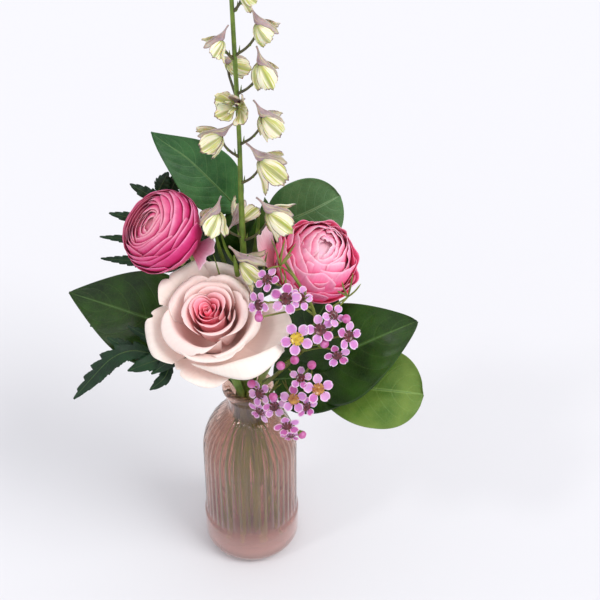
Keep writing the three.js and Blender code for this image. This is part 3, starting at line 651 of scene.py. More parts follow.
ROSE_SEAT = vec(-16.6, -20, 222.4)
ROSE_AXIS = unit(vec(-0.1, -0.42, 0.9))
ROSE_LEAN = vec(-2.6, 3.2, 0)  # how far the heart leans off the axis, at 40 mm above the seat
# Whorls of three, from the heart out: half width in degrees, the rim's radius, height and curl, tone. The
# third and fourth whorls have raised tones, so they are paler: painted light that lifts the shade inside
# the cup.
ROSE_WHORLS = [
    (78, 4.8, 39.0, 0.35, 0.0),
    (72, 7.4, 40.8, 0.6, 0.1),
    # raised tone in this whorl and the next: painted light that lifts the shade inside the cup
    (68, 10.8, 41.8, 1.1, 0.38),
    (74, 16.0, 41.0, 1.3, 0.7),
]
# Single petals: direction and half width in degrees, the rim's radius (middle, slope across, bow across)
# and height, where its roll starts, by how much it turns and where across it is strongest, tone.
ROSE_MIDDLE = [
    (96, 70, (22.5, 0.0, 0.0), 39.4, (0.84, 1.3, 0.0), 0.8),
    (352, 66, (23.0, 1.5, 0.0), 38.6, (0.84, 1.2, 0.0), 0.82),
    (226, 66, (30.0, -7.0, -2.5), 37.2, (0.74, 1.25, -0.2), 0.88),
    (56, 54, (29.5, 0.5, -0.5), 35.5, (0.86, 1.1, 0.0), 0.88),
    (132, 50, (31.5, 0.5, -0.5), 35.0, (0.86, 1.2, 0.2), 0.88),
    (330, 62, (32.5, -0.5, -1.0), 35.0, (0.76, 2.3, -0.45), 0.92),
    (264, 70, (31, 0.5, 0.5), 31, (0.9, 0.5, 0.0), 0.9),
]
ROSE_OUTER = [
    (58, 40, (35, 6, 0.5), 33, (0.84, 1.0, 0.2), 1.0),
    (123, 36, (44.5, 0.5, -2), 31, (0.84, 1.1, -0.1), 1.0),
    (351, 31, (50, -1, -4), 20, (0.9, 0.5, 0.0), 1.0),
    (250, 36, (41, 2, -3), 16, (0.86, 0.7, 0.0), 0.96),
    (188, 36, (46.5, 1, -4.5), 22, (0.84, 1.2, 0.1), 1.0),
]
# The petal that lies folded outwards, from its left edge to its right: direction in degrees, the radius
# and height of the crease that it is folded at, and the radius and height of its rim.
ROSE_FOLDED = [
    (238, 28, 17, 28.3, 16.5),
    (270, 29.5, 22.5, 34, 20),
    (300, 31.5, 24.5, 44.5, 21),
    (325, 38, 24, 49, 22),
    (346, 46, 20.5, 49, 19),
]
FOLD_START = 0.7  # share of the folded petal's length that lies below the crease


def rolled(profile, t, start, curl, bend):
    """The profile at t once its part beyond start is turned outwards by curl radians."""
    steps = 60
    radius, height = bezier(profile, np.linspace(0, 1, steps + 1))
    share = (np.arange(steps) + 0.5) / steps
    turn = curl[..., None] * smooth(0, 1, (share - start[..., None]) / bend)
    outward = np.diff(radius) * np.cos(turn) + np.diff(height) * np.sin(turn)
    upward = np.diff(height) * np.cos(turn) - np.diff(radius) * np.sin(turn)
    low = np.minimum((t * steps).astype(int), steps - 1)[..., None]
    part = (t * steps)[..., None] - low

    def reached(first, moves):
        total = np.cumsum(moves, axis=-1)
        here, step = np.take_along_axis(total, low, -1), np.take_along_axis(moves, low, -1)
        return (first + here - step * (1 - part))[..., 0]

    return reached(radius[0], outward), reached(height[0], upward)


def rose_petal(profile, direction, half_width, rim, roll, tone, bend, ruffle, drop, phase):
    """A petal whose middle line is profile, as [radius, height], with a rolled and ruffled rim.

    bend is the share of its length over which it rolls, and drop how far its corners fall short.
    """
    half, middle = math.radians(half_width), math.radians(direction)
    start, curl, side = roll

    def surface(s, t):
        wave = np.sin(4.4 * s + phase) + 0.6 * np.sin(9.7 * s + 2.3 * phase)
        nick = np.exp(-((s - 0.55 * math.sin(3 * phase)) / 0.06) ** 2)
        reach = t * (1 - drop * np.abs(s) ** 3 * t) * (1 - ruffle * t ** 6 * (0.012 * wave + 0.035 * nick))
        most = np.exp(-((s - side) / 0.8) ** 2)
        begins = start + (1 - start) * 0.45 * (1 - most)
        radius, height = rolled(profile, reach, begins, curl * (0.3 + 0.7 * most), bend)
        radius = radius * (1 + ((rim[0] + rim[1] * s + rim[2] * s * s) / rim[0] - 1) * t * t)
        radius = radius + 0.4 * ruffle * wave * t ** 4 + 0.5 * t * t * np.sin(3.3 * s + middle)
        height = height + 0.7 * ruffle * np.sin(5.2 * s + 1.7 * phase) * t ** 5
        angle = middle + s * half * (0.5 + 0.5 * np.sqrt(t))
        return around(radius, angle, height) + ROSE_LEAN * (height * (1 - tone) / 40)[..., None]

    return surface


def folded_petal():
    """The petal of ROSE_FOLDED: it rises to its crease and lies over outwards from there to its rim."""
    lines = smooth_path(ROSE_FOLDED, 200)
    middle = math.radians(ROSE_FOLDED[2][0])

    def surface(s, t):
        turn, crease, crest, rim, hem = (np.interp(s, np.linspace(-1, 1, 200), line) for line in lines.T)
        rising = np.clip(t / FOLD_START, 0, 1)
        folding = np.clip((t - FOLD_START) / (1 - FOLD_START), 0, 1)
        over = rim - crease
        arch = np.clip(over / 8, 0, 1)
        wave = np.sin(5.3 * s + 0.6) + 0.5 * np.sin(11 * s)
        radius = cubic(rising, 4, 25, crease - 1, crease) + cubic(folding, 0, 0.4, 0.45 * over, over)
        height = cubic(rising, 2, 0, crest - 7, crest)
        height = height + cubic(folding, 0, 2.4 * arch, 2.8 * arch, hem - crest)
        angle = middle + (np.radians(turn) - middle) * (0.5 + 0.5 * np.sqrt(t))
        return around(radius + 0.7 * wave * folding ** 2, angle, height + 0.5 * wave * folding)

    return surface


def make_rose_bloom():
    random = np.random.default_rng(11)
    piece = Piece()
    piece.place(ROSE_SEAT, facing(ROSE_AXIS))
    add_turned(piece, [[0, 0], [4.4, 0], [6.2, 1.2], [6.4, 3], [4.6, 9], [3.4, 20], [0, 26]], 32, tone=0.9)

    def heart(s, t):
        turned = 2.4 * math.pi * (s + 1)
        radius = 0.7 + 1.9 * (s + 1) / 2 * t + 0.9 * np.sin(math.pi * t)
        height = 20 + 19 * t - 1.2 * (1 - s) * t - 0.8 * np.sin(2.5 * turned) * t ** 3
        return around(radius, turned, height) + ROSE_LEAN * (height / 40)[..., None]

    def add_petal(profile, direction, half, rim, roll, tone, bend, ruffle, drop):
        phase = random.uniform(0, 6)
        surface = rose_petal(profile, direction, half, rim, roll, tone, bend, ruffle, drop, phase)
        add_sheet(piece, surface, 40, 34, 0.5, tone=tone, chance=random.random(), thin=0.35)

    add_sheet(piece, heart, 110, 16, 0.45, tone=0.0, chance=0.3, thin=0.4)
    inner = 2.6
    for layer, (half, radius, height, curl, tone) in enumerate(ROSE_WHORLS):
        for index in range(3):
            direction = 120 * index + 137 * layer + random.uniform(-8, 8)
            top = height + random.uniform(-1.2, 0.8)
            bowed = [inner + 0.4, height - 11 + 1.5 * layer]
            profile = [[2.4, 2], [inner + 3.4, 12], bowed, [radius, top]]
            rim = (radius + random.uniform(-0.8, 0.8), 0.09 * radius + 0.4, 0)
            add_petal(profile, direction, half, rim, (0.84, curl, 0), tone, bend=0.16,
                      ruffle=0.2 + 0.12 * layer, drop=0.16)
        inner = radius
    for direction, half, rim, height, roll, tone in ROSE_MIDDLE:
        radius = rim[0]
        profile = [[3.6, 2], [0.85 * radius, 2], [0.35 * radius + 4, height - 4], [radius, height]]
        add_petal(profile, direction, half, rim, roll, tone, bend=0.1, ruffle=1.0, drop=0.22)
    for direction, half, rim, height, roll, tone in ROSE_OUTER:
        profile = [[4, 2], [30, 0], [29, height - 5], [rim[0], height]]
        add_petal(profile, direction, half, rim, roll, tone, bend=0.12, ruffle=2.5, drop=0.13)
    add_sheet(piece, folded_petal(), 56, 44, 0.5, tone=1.0, chance=random.random(), thin=0.35)
    heart_colours = ((0.5, (255, 64, 102)), (0.85, (255, 112, 142)), (1.0, (255, 168, 184)))
    outer_colours = ((0.0, (255, 228, 216)), (0.5, (255, 236, 228)), (0.95, (246, 233, 223)))
    petals = petal_material("rose_petal", heart_colours, outer_colours, veins=0.3, glow=0.1)
    piece.make("rose_petals", "rose_bloom", "rose_petals", [petals])


def make_rose_stem():
    piece = Piece()
    top = ROSE_SEAT - ROSE_AXIS * GAP
    path = [(-8.5, -8, 172), (-14, -14, 200), top - ROSE_AXIS * 9]
    add_stem(piece, "rose", path, sides=18, nodes=2)
    share = np.linspace(0, 1, 14)
    hip = top - ROSE_AXIS * (11 * (1 - share))[:, None]
    add_tube(piece, hip, np.interp(share, [0, 0.3, 0.6, 0.85, 1], [2.6, 3.3, 4.6, 4.7, 4.2]), 20)
    piece.place(top, facing(ROSE_AXIS))
    for index in range(5):
        middle = 2 * math.pi * index / 5 + 0.3

        def sepal(s, t, middle=middle):
            width = 3.6 * (1 - 0.85 * t) * (0.6 + 0.4 * np.sin(math.pi * t))
            drop = -2 - 6 * t - 13 * t * t + 0.15 * np.abs(s) * width
            return outwards(3 + 15 * t, s * width, middle, drop)

        add_sheet(piece, sepal, 8, 18, 0.7, kind=1)
    stem = stem_material("rose_stem_green", (116, 140, 62), (62, 92, 34), (196, 200, 150))
    sepals = stem_material("rose_sepal_green", (142, 160, 84), (84, 110, 44), (120, 144, 66))
    piece.make("rose_stalk", "rose_stem", "rose_green", [stem, sepals])


# ---------------------------------------------------------------- ranunculus

# The dimple where the innermost petals close lies off the bloom's axis: "dimple" is its direction and
# how far off it is, in degrees, and "slit" the direction it is pressed together in and by how much.
# "ruffle" is how deep a petal's folds are, as a share of the ball's radius, and "wander" is how far
# the rims stray, in degrees.
# A guard is a loose petal: direction, how far its rim is from the axis and half width, all in degrees,
# then its reach as a share of the ball's radius, and how deep its notches are.
# "heart" and "outer" are the colours of the innermost and the outermost petals, from base to rim; they are
# darkest low down, where the petals tuck into the folds, which is painted shade, and palest at the rim,
# which is a painted highlight.
RANUNCULUS = [
    {
        "name": "ranunculus_magenta", "node": "ranunculus_left", "stalk": "magenta_stalk", "seed": 21,
        "seat": vec(-39, 12, 272), "axis": unit(vec(-0.57, -0.25, 0.78)), "turn": 20, "radius": 26.5,
        "path": [(-12, 14, 180), (-26, 22, 225)],
        "dimple": (282, 26), "slit": (112, 0.6), "layers": 11, "ruffle": 0.01, "wander": 4.0,
        "guards": [(303, 122, 26, 1.42, 1.0), (268, 104, 40, 1.07, 0.3), (205, 100, 44, 1.1, 0.3),
                   (40, 104, 40, 1.06, 0.2), (130, 108, 40, 1.06, 0.2)],
        # painted shade deep in the folds, and a painted highlight at the rims
        "heart": ((0.5, (180, 40, 94)), (0.86, (220, 94, 140)), (1.0, (236, 172, 182))),
        "outer": ((0.5, (168, 14, 74)), (0.84, (206, 42, 114)), (0.94, (220, 74, 138)),
                  (1.0, (234, 130, 176))),
        "pale": ((0.0, (206, 60, 120)), (0.6, (228, 140, 176)), (1.0, (240, 196, 214))),
    },
    {
        "name": "ranunculus_pink", "node": "ranunculus_right", "stalk": "pink_stalk", "seed": 22,
        "seat": vec(38, 14, 239), "axis": unit(vec(0.36, -0.16, 0.92)), "turn": 50, "radius": 27.5,
        "path": [(16, 6, 175), (30, 12, 210)],
        "dimple": (205, 14), "slit": (295, 0.3), "layers": 8, "ruffle": 0.045, "wander": 10.0,
        "guards": [(118, 92, 25, 1.5, 0.5), (190, 112, 38, 1.1, 0.4), (262, 104, 42, 1.1, 0.4),
                   (330, 100, 40, 1.06, 0.3), (50, 100, 40, 1.04, 0.3)],
        # painted shade deep in the folds, a painted highlight at the rims, and a pale heart that is
        # painted light on the ball's upper side
        "heart": ((0.4, (252, 110, 160)), (0.78, (255, 164, 196)), (1.0, (255, 212, 224))),
        "outer": ((0.4, (248, 32, 108)), (0.75, (255, 86, 150)), (0.92, (255, 124, 174)),
                  (1.0, (255, 172, 204))),
        "pale": ((0.0, (240, 130, 160)), (0.6, (250, 190, 206)), (1.0, (250, 224, 226))),
    },
]
BALL_CORE = 0.68  # share of the ball's radius at which the innermost petals close
BALL_RISE = 0.94  # height of the ball's middle over the seat, as a share of its radius
GUARD_ROOT = 158  # where the loose petals start, in degrees from the top of the ball


def ball_petal(bloom, inward, rim, root, middle, half, random):
    """A petal on the ball: it runs from root to rim, both in degrees from the dimple."""
    radius, wander = bloom["radius"], bloom["wander"]
    across = direction_at(bloom["slit"][0], 90)
    pressed = np.eye(3) - bloom["slit"][1] * inward * np.outer(across, across)
    settle = facing(direction_at(bloom["dimple"][0], bloom["dimple"][1] * inward)) @ pressed
    share = 1.0 - (1.0 - BALL_CORE - 0.03) * inward ** 1.1
    flare, ruffle = 0.03 * (1 - 0.5 * inward), bloom["ruffle"] * (1 - 0.5 * inward)
    phase = random.uniform(0, 6, 4)
    tilt = random.uniform(-1, 1) * wander

    def surface(s, t):
        edge = np.sin(2.4 * s + phase[0]) + 0.45 * np.sin(5.1 * s + phase[1])
        reached = t * (1 - 0.05 * s * s - 0.1 * s ** 6)
        ends = rim + tilt * s + 0.7 * wander * edge * (1 - 0.6 * inward)
        polar = np.radians(root + (ends - root) * reached)
        sunk = (share - BALL_CORE + 0.05) * np.clip(1 - 2.5 * t, 0, 1)
        folds = np.sin(5 * s + phase[2]) + 0.7 * np.sin(9 * s + phase[3]) + 0.3 * np.sin(17 * s + phase[0])
        reach = radius * (share - sunk + flare * reached ** 5 + 0.028 * s + ruffle * folds * t ** 3)
        points = around(reach * np.sin(polar), middle + s * half, reach * np.cos(polar))
        return points @ settle.T + vec(0, 0, radius * BALL_RISE)

    return surface


def guard_petal(radius, azimuth, rim, half_width, reach_out, notches, random):
    """A loose petal under the ball, which spreads outwards and has a notched end."""
    half = math.radians(half_width)
    phase = random.uniform(0, 6)

    def surface(s, t):
        cut = notches * (0.06 * np.sin(7 * s + phase) + 0.05 * np.sin(13 * s + 2 * phase))
        reached = t * (1 - 0.1 * s * s + cut * t ** 5)
        polar = np.radians(GUARD_ROOT + (rim - GUARD_ROOT) * reached ** 0.8)
        reach = 0.97 + (reach_out - 0.97) * reached ** 1.5 + 0.012 * np.sin(6 * s + phase) * t * t
        reach = radius * reach
        angle = math.radians(azimuth) + s * half * (0.45 + 0.55 * np.sqrt(t))
        return around(reach * np.sin(polar), angle, radius * BALL_RISE + reach * np.cos(polar))

    return surface


def make_ranunculus(bloom):
    """A core, nested petals round it, and loose petals below; the first of those is the palest."""
    random = np.random.default_rng(bloom["seed"])
    radius, layers = bloom["radius"], bloom["layers"]
    piece = Piece()
    piece.place(bloom["seat"], facing(bloom["axis"], bloom["turn"]))
    add_turned(piece, [[0, 0], [3.6, 0], [9, 0.8], [12.5, 2.4], [13.4, 5], [9, 8], [0, 8]], 32, tone=0.9)
    core = radius * BALL_CORE
    polar = np.linspace(math.pi, 0, 14)
    bulb = np.stack([core * np.sin(polar), radius * BALL_RISE + core * np.cos(polar)], axis=1)
    bulb[[0, -1], 0] = 0
    bulb[-3:, 1] -= (0.8, 2.4, 3.4)
    add_turned(piece, bulb, 40, tone=0.0)
    for layer in range(layers):
        inward = layer / (layers - 1)
        rim = 90 - 76 * inward ** 0.85
        count = 4 if inward < 0.5 else 3
        for index in range(count):
            middle = 2 * math.pi * index / count + 2.4 * layer + random.uniform(-0.25, 0.25)
            half = math.pi / count * random.uniform(1.15, 1.4)
            lifted = rim + random.uniform(-4, 4)
            surface = ball_petal(bloom, inward, lifted, min(150, rim + 62), middle, half, random)
            add_sheet(piece, surface, 34, 20, 0.35, tone=1 - inward, chance=random.random(), thin=0.3)
    for number, guard in enumerate(bloom["guards"]):
        surface = guard_petal(radius, *guard, random)
        kind = int(number == 0)
        add_sheet(piece, surface, 34, 20, 0.4, tone=1.0, chance=random.random(), kind=kind, thin=0.4)
    name = bloom["name"]
    heart, outer, pale = bloom["heart"], bloom["outer"], bloom["pale"]
    petals = petal_material(name + "_petal", heart, outer, veins=0.7, glow=0.15, roughness=0.42)
    guards = petal_material(name + "_guard", pale, pale, veins=0.9, glow=0.3, roughness=0.45, depth=0.002)
    piece.make(name, bloom["node"] + "_bloom", bloom["node"] + "_petals", [petals, guards])


def make_ranunculus_stem(bloom):
    """The stem, the swelling on top of it and five bracts under the bloom."""
    seat, axis, name = bloom["seat"], bloom["axis"], bloom["stalk"]
    piece = Piece()
    add_stem(piece, bloom["node"], [*bloom["path"], seat - axis * 6], sides=16)
    share = np.linspace(0, 1, 8)
    swelling = seat - axis * np.linspace(9, GAP, 8)[:, None]
    add_tube(piece, swelling, 2.3 + 1.2 * smooth(0.3, 1, share), 18)
    piece.place(seat - axis * GAP, facing(axis))
    for index in range(5):
        middle = 2 * math.pi * index / 5 + 0.5

        def bract(s, t, middle=middle):
            width = 4.2 * np.sin(math.pi * (0.16 + 0.8 * t)) ** 0.7
            out = 3 + 9.5 * t
            return around(out, middle + s * width / np.maximum(out, 4), -1.6 - 1.4 * t * t)

        add_sheet(piece, bract, 8, 10, 0.6, kind=1)
    stem = stem_material(name + "_green", (172, 182, 112), (118, 138, 66), (205, 208, 160))
    cup = stem_material(name + "_bract", (160, 172, 96), (112, 130, 60), (150, 160, 90))
    piece.make(name, bloom["node"] + "_stem", "ranunculus_green", [stem, cup])


# ---------------------------------------------------------------- delphinium

SPIKE = [(0, 2, 205), (-0.3, 5, 258), (-0.9, 10, 319), (-0.9, 12, 357), (-2, 14.5, 410),
         (-3, 16.5, 455), (-4, 18, 492)]
# Height, direction about the stem, the pedicel's reach, size, where it faces, its nod, how open it is;
# directions and the nod are in degrees.
FLORETS = [
    (277, -92, 14, 1.1, -8, 34, 1.15), (290, 110, 10, 0.95, 60, -20, 1.1),
    (311, -30, 20, 1.1, 0, 38, 1.05), (310, 212, 17, 1.0, 196, 60, 1.0),
    (350, -38, 16, 1.15, -4, 36, 1.2), (365, 212, 12, 1.0, 188, 26, 1.1),
    (380, -30, 17, 1.0, 0, 48, 0.95), (389, 272, 12, 1.0, 250, -30, 1.05),
    (405, 118, 11, 0.85, 25, 28, 0.9), (417, -35, 18, 0.95, -8, 64, 0.95),
    (429, 212, 8, 0.8, 200, 44, 1.0), (441, -25, 16, 0.95, -8, 50, 0.75),
    (459, -15, 7, 0.75, 0, 45, 0.75), (480, 20, 5, 0.45, 20, -10, 0.6),
]
# Narrow leaves low on the stem: height, direction in degrees, length.
NARROW_LEAVES = [
    (222, 205, 58), (228, 150, 66), (232, 330, 50), (236, 60, 56), (240, 250, 44), (246, 285, 36),
    (250, 170, 44),
]
SPIKE_GREEN, SEPAL, PEDICEL = range(3)


def add_floret(piece, seat, direction, size, openness, random):
    """A nodding floret: a spurred hood, four broad sepals that open below it, and three small petals."""
    piece.place(seat, upright(direction) * size)

    def hood(s, t):
        wide = 0.4 + 4.3 * smooth(0.1, 0.7, t)
        turn = -math.pi / 2 + s * (3.0 - 2.05 * smooth(0.3, 0.55, t))
        length = -11.5 + 24.5 * t - 3.4 * s * s * smooth(0.7, 1, t)
        rise = 3.8 - 2.8 * smooth(0.0, 0.5, t) + 2.0 * openness * smooth(0.6, 1, t)
        point = around(wide * (1 - 0.25 * smooth(0.85, 1, t)), turn, length)
        point[..., 1] -= rise
        return point

    add_sheet(piece, hood, 18, 26, 0.45, tone=0.9, chance=random.random(), kind=SEPAL)
    for index, side in enumerate((-14, 50, 130, 194)):
        middle = math.radians(side) + random.uniform(-0.2, 0.2)
        phase, longer = random.uniform(0, 6), random.uniform(-2.0, 1.6)
        flick = random.uniform(-1.5, 2.0)

        def sepal(s, t, middle=middle, phase=phase, longer=longer, flick=flick, inner=index % 2):
            ragged = 0.025 * np.sin(7 * s + phase) + 0.02 * np.sin(17 * s + 2 * phase)
            reach = t * (1 - (0.13 * s * s + ragged) * t ** 3)
            ends = [[2.0, 0.2], [7.2, 0.6], [8.2, 7.5], [11.2 * openness, 13.5 + longer]]
            radius, length = bezier(ends, reach)
            radius = radius - 0.6 * inner + 0.8 * np.cos(3.1 * s + phase) * t + flick * smooth(0.7, 1, t)
            sideways = s * (1.8 + 4.4 * smooth(0, 0.7, t)) * (1 - 0.15 * smooth(0.85, 1, t))
            angle = middle + sideways / np.maximum(radius, 3.8)
            return around(radius + 0.02 * sideways ** 2, angle, length)

        tone = 0.08 * random.random()
        add_sheet(piece, sepal, 18, 20, 0.45, tone=tone, chance=random.random(), kind=SEPAL)
    for side, depth in ((-1, -2.4), (0, 1.6), (1, -2.4)):
        def inner_petal(s, t, side=side, depth=depth):
            bent = 1.2 * smooth(0.5, 1, t) + 0.4 * s * s
            across = side * (2.0 + 1.6 * t) + 2.2 * s * (0.4 + 1.4 * t * (1 - t))
            return np.stack([across, depth * (0.6 + t) + bent, 2 + 10.5 * t], axis=-1)

        add_sheet(piece, inner_petal, 6, 12, 0.4, tone=0.0, chance=random.random(), kind=SEPAL)
    piece.place()


def add_pedicel(piece, root, seat, out, reach, rise):
    """The bent stalk of a floret, with a small bract at its root and two along it."""
    bends = [root + out * 0.5 * reach + UP * 0.3 * rise, seat - out * 0.12 * reach - UP * 0.38 * rise]
    pedicel = smooth_path([root, *bends, seat], 20)
    add_tube(piece, pedicel, np.linspace(0.95, 0.7, 20), 8, kind=PEDICEL)
    for foot, length in ((pedicel[8], 3.6), (pedicel[15], 3.0), (root, 8)):
        bend = foot + (out * 0.3 + UP * 0.2) * length
        tip = foot + (out * 0.45 + UP) * length
        radii = np.interp(np.linspace(0, 1, 8), [0, 0.4, 1], [0.5, 0.75, 0.12])
        add_tube(piece, smooth_path([foot, bend, tip], 8), radii, 6, kind=SPIKE_GREEN)


def narrow_leaf(root, base, out, length):
    middle = root + (out * 0.25 + UP * 0.5) * length
    path = smooth_path([base, middle, root + (out * 0.36 + UP) * length], 24)
    side = unit(np.cross(out, UP))

    def surface(s, t):
        half = 1.9 * np.sin(math.pi * (0.12 + 0.85 * t)) ** 0.8
        return shifted(on_line(path, t), (side, half * s), (out, -0.3 * half * s * s))

    return surface


def make_delphinium():
    random = np.random.default_rng(5)
    piece = Piece()
    add_stem(piece, "delphinium", SPIKE, sides=16, taper=0.42)
    line = smooth_path(SPIKE, 400)

    def on_stem(height):
        return vec(*(np.interp(height, line[:, 2], column) for column in line.T))

    for height, azimuth, reach, size, faces, nod, openness in FLORETS:
        out = direction_at(azimuth, 90)
        seat = on_stem(height) + out * reach
        rise = 7 + 1.15 * reach
        add_pedicel(piece, on_stem(height - rise), seat, out, reach, rise)
        add_floret(piece, seat, direction_at(faces, 90 + nod), size, openness, random)
    for height, azimuth, length in NARROW_LEAVES:
        leaf = narrow_leaf(on_stem(height), on_stem(height + 4), direction_at(azimuth, 90), length)
        add_sheet(piece, leaf, 6, 26, 0.45, chance=random.random(), kind=SPIKE_GREEN)
    stem = stem_material("delphinium_green", (122, 146, 56), (70, 98, 34), (200, 204, 150))
    pedicels = stem_material("delphinium_pedicel", (96, 94, 60), (58, 54, 44), (84, 86, 50))
    piece.make("delphinium", "delphinium_spike", "delphinium", [stem, floret_material(), pedicels])


# ---------------------------------------------------------------- waxflower

TO_VIEWER = vec(0, -0.74, 0.67)
WAX_GREEN, WAX_PETAL, WAX_CUP, WAX_YELLOW, WAX_AMBER, WAX_ANTHER, WAX_BUD = range(7)
# A flower is its place, direction, size and what its cup is made of. A tuft of needles is its root and
# the needles' tips.
WAX_FRONT = {
    "name": "waxflower_low", "node": "waxflower_front", "ring": "wax_front", "seed": 31,
    "path": [(2, -12, 163), (13, -30, 173), (27, -38, 187), (38, -38, 205)],
    "flowers": [
        ((47.9, -50, 203.3), (0.2, -0.8, 0.6), 1.0, WAX_AMBER),
        ((32.3, -50, 194), (-0.3, -0.8, 0.5), 0.95, WAX_AMBER),
        ((10.2, -42, 191), (-0.55, -0.6, 0.4), 0.9, WAX_CUP),
        ((9.9, -42, 174.5), (-0.5, -0.8, -0.1), 0.9, WAX_CUP),
        ((27.5, -47, 166), (0.1, -0.95, 0), 0.9, WAX_CUP),
        ((36.5, -46, 209), (0, -0.5, 0.85), 0.75, WAX_CUP),
        ((19, -44, 181), (0.3, -0.9, 0.25), 0.85, WAX_CUP),
        ((40, -47, 184), (0.45, -0.85, 0.2), 0.8, WAX_CUP),
        ((30, -45, 154), (0.0, -0.9, -0.3), 0.7, WAX_CUP),
    ],
    "buds": [(36, -46, 158), (19, -48, 194), (43, -45, 219), (5.5, -42, 199)],
    "needles": [],
}
WAX_UPPER = {
    "name": "waxflower_high", "node": "waxflower_upper", "ring": "wax_upper", "seed": 32,
    "path": [(12, -18, 175), (32, -24, 205), (45, -31, 232), (45, -29, 252), (27, -18, 284)],
    "flowers": [
        ((34.3, -48, 246.1), (-0.1, -0.7, 0.7), 1.05, WAX_YELLOW),
        ((27.4, -37, 270.5), (-0.1, -0.8, 0.5), 1.0, WAX_CUP),
        ((11, -44, 272), (-0.7, -0.6, 0.3), 0.9, WAX_CUP),
        ((16, -30, 280), (-0.4, -0.4, 0.8), 0.85, WAX_CUP),
        ((48.9, -44, 250.7), (0.1, -0.8, 0.6), 0.95, WAX_CUP),
        ((66.8, -40, 241), (0.55, -0.6, 0.5), 0.95, WAX_CUP),
        ((57.1, -38, 257), (0.4, -0.4, 0.8), 0.8, WAX_CUP),
        ((60, -44, 228.5), (0.1, -0.95, 0.1), 0.85, WAX_CUP),
        ((36.5, -34, 268), (0.5, -0.6, 0.6), 0.8, WAX_CUP),
    ],
    "buds": [(12.5, -49, 266), (24.5, -52, 227), (33, -50, 230), (51, -46, 240), (64, -40, 255)],
    "needles": [
        ((23.7, -24, 286.2), [(18.4, -26, 310), (33.7, -22, 303), (31, -18, 291), (15, -28, 286.5),
                              (25.6, -30, 276), (27, -20, 305)]),
        ((66.7, -26, 262), [(69.4, -26, 282), (62.5, -28, 277), (74.7, -24, 271.5), (59.5, -30, 270.6),
                            (60, -31, 256)]),
    ],
}


def add_waxflower(piece, seat, direction, turn, size, cup_kind, random):
    """Five round petals round a waxy cup, a ring of stamens, and the funnel behind them."""
    piece.place(seat, facing(direction, turn) * size)
    funnel = [[0, -7.6], [0.7, -7.4], [1.6, -5], [2.6, -2.6], [3.4, -1.2], [3.4, -0.7], [0, -0.7]]
    cup = [[0, -0.8], [3.6, -0.7], [4.2, 0.5], [3.9, 1.2], [3.1, 0.5], [1.8, 0.2], [0.5, 0.4], [0.35, 2.2],
           [0, 2.4]]
    add_turned(piece, funnel, 18, kind=WAX_GREEN)
    add_turned(piece, cup, 22, kind=cup_kind)
    for index in range(5):
        middle = 2 * math.pi * index / 5 + random.uniform(-0.08, 0.08)
        lift = random.uniform(-0.5, 1.4)
        wide = random.uniform(3.1, 3.6)

        def petal(s, t, middle=middle, lift=lift, wide=wide):
            round_edge = np.sqrt(np.clip(np.sin(math.pi * (0.09 + 0.885 * t)), 0.02, 1))
            half = wide * round_edge * (0.7 + 0.3 * smooth(0, 0.45, t))
            height = 0.3 + lift * t + 1.5 * t * (1 - t) + 0.9 * s * s * (0.3 + 0.7 * t)
            return outwards(3.3 + 6.7 * t, half * s, middle, height)

        add_sheet(piece, petal, 12, 14, 0.5, chance=random.random(), kind=WAX_PETAL)
    for index in range(10):
        angle = 2 * math.pi * (index + 0.5) / 10
        foot, head = around(4.2, angle, 1.0), around(4.0 - 1.0 * (index % 2), angle, 2.3)
        stamen = [foot, (foot + head) / 2 + UP * 0.3, head]
        add_tube(piece, stamen, 0.24, 5, chance=1.0, kind=WAX_PETAL)
        add_tube(piece, [head, head + UP * 0.3, head + UP * 0.6], [0.22, 0.42, 0.2], 6, kind=WAX_ANTHER)
    piece.place()


def add_bud(piece, root, tip, random):
    """A bud that stands on its twig along the line from root to tip: a green cup with a pink top."""
    along = unit(tip - root)
    share = np.linspace(0, 1, 12)
    bud = tip + along * (-2 + 7.2 * share)[:, None]
    green, pink = slice(0, 6), slice(4, 12)
    radii = np.interp(share, [0, 0.3, 0.55, 0.8, 0.93, 1], [0.6, 1.9, 3.0, 2.8, 1.6, 0.4])
    add_tube(piece, bud[green], radii[green], 12, kind=WAX_GREEN)
    add_tube(piece, bud[pink], radii[pink] * 0.98, 14, chance=random.random(), kind=WAX_BUD)


def add_needle(piece, root, tip, random):
    middle = (root + tip) / 2 + random.uniform(-0.8, 0.8, 3)
    radii = np.interp(np.linspace(0, 1, 9), [0, 0.2, 0.8, 1], [0.35, 0.66, 0.55, 0.12])
    add_tube(piece, smooth_path([root, middle, tip], 9), radii, 6, chance=random.random(), kind=WAX_GREEN)


def make_waxflower(spray, materials):
    random = np.random.default_rng(spray["seed"])
    piece = Piece()
    add_stem(piece, spray["ring"], spray["path"], sides=12, taper=0.75)
    line = beyond_neck(spray["ring"], spray["path"])

    def twig(end, direction):
        nearest = int(np.argmin(np.linalg.norm(line - end, axis=1)))
        start = line[max(nearest - 24, 0)]
        bend = start + 0.6 * (end - start) - 3 * direction
        add_tube(piece, smooth_path([start, bend, end], 14), np.linspace(0.8, 0.55, 14), 8, kind=WAX_GREEN)
        return bend

    for index, (place, direction, size, cup_kind) in enumerate(spray["flowers"]):
        direction, place = unit(direction), vec(*place)
        bend = twig(place - 5.4 * size * direction, direction)
        add_waxflower(piece, place, direction, random.uniform(-40, 40), size, cup_kind, random)
        for _ in range(2 + index % 2):
            add_needle(piece, bend, bend + vec(*random.uniform(-9, 9, 2), random.uniform(7, 14)), random)
    for place in spray["buds"]:
        place = vec(*place)
        add_bud(piece, twig(place, TO_VIEWER), place, random)
    for root, tips in spray["needles"]:
        root = vec(*root)
        twig(root, unit(root - line[-1] + UP))
        for tip in tips:
            add_needle(piece, root, vec(*tip), random)
    piece.make(spray["name"], spray["node"], "waxflower", materials)


# ---------------------------------------------------------------- salal

TWIG, FRESH, DARK, RIB, LIGHT, SHADED = range(6)
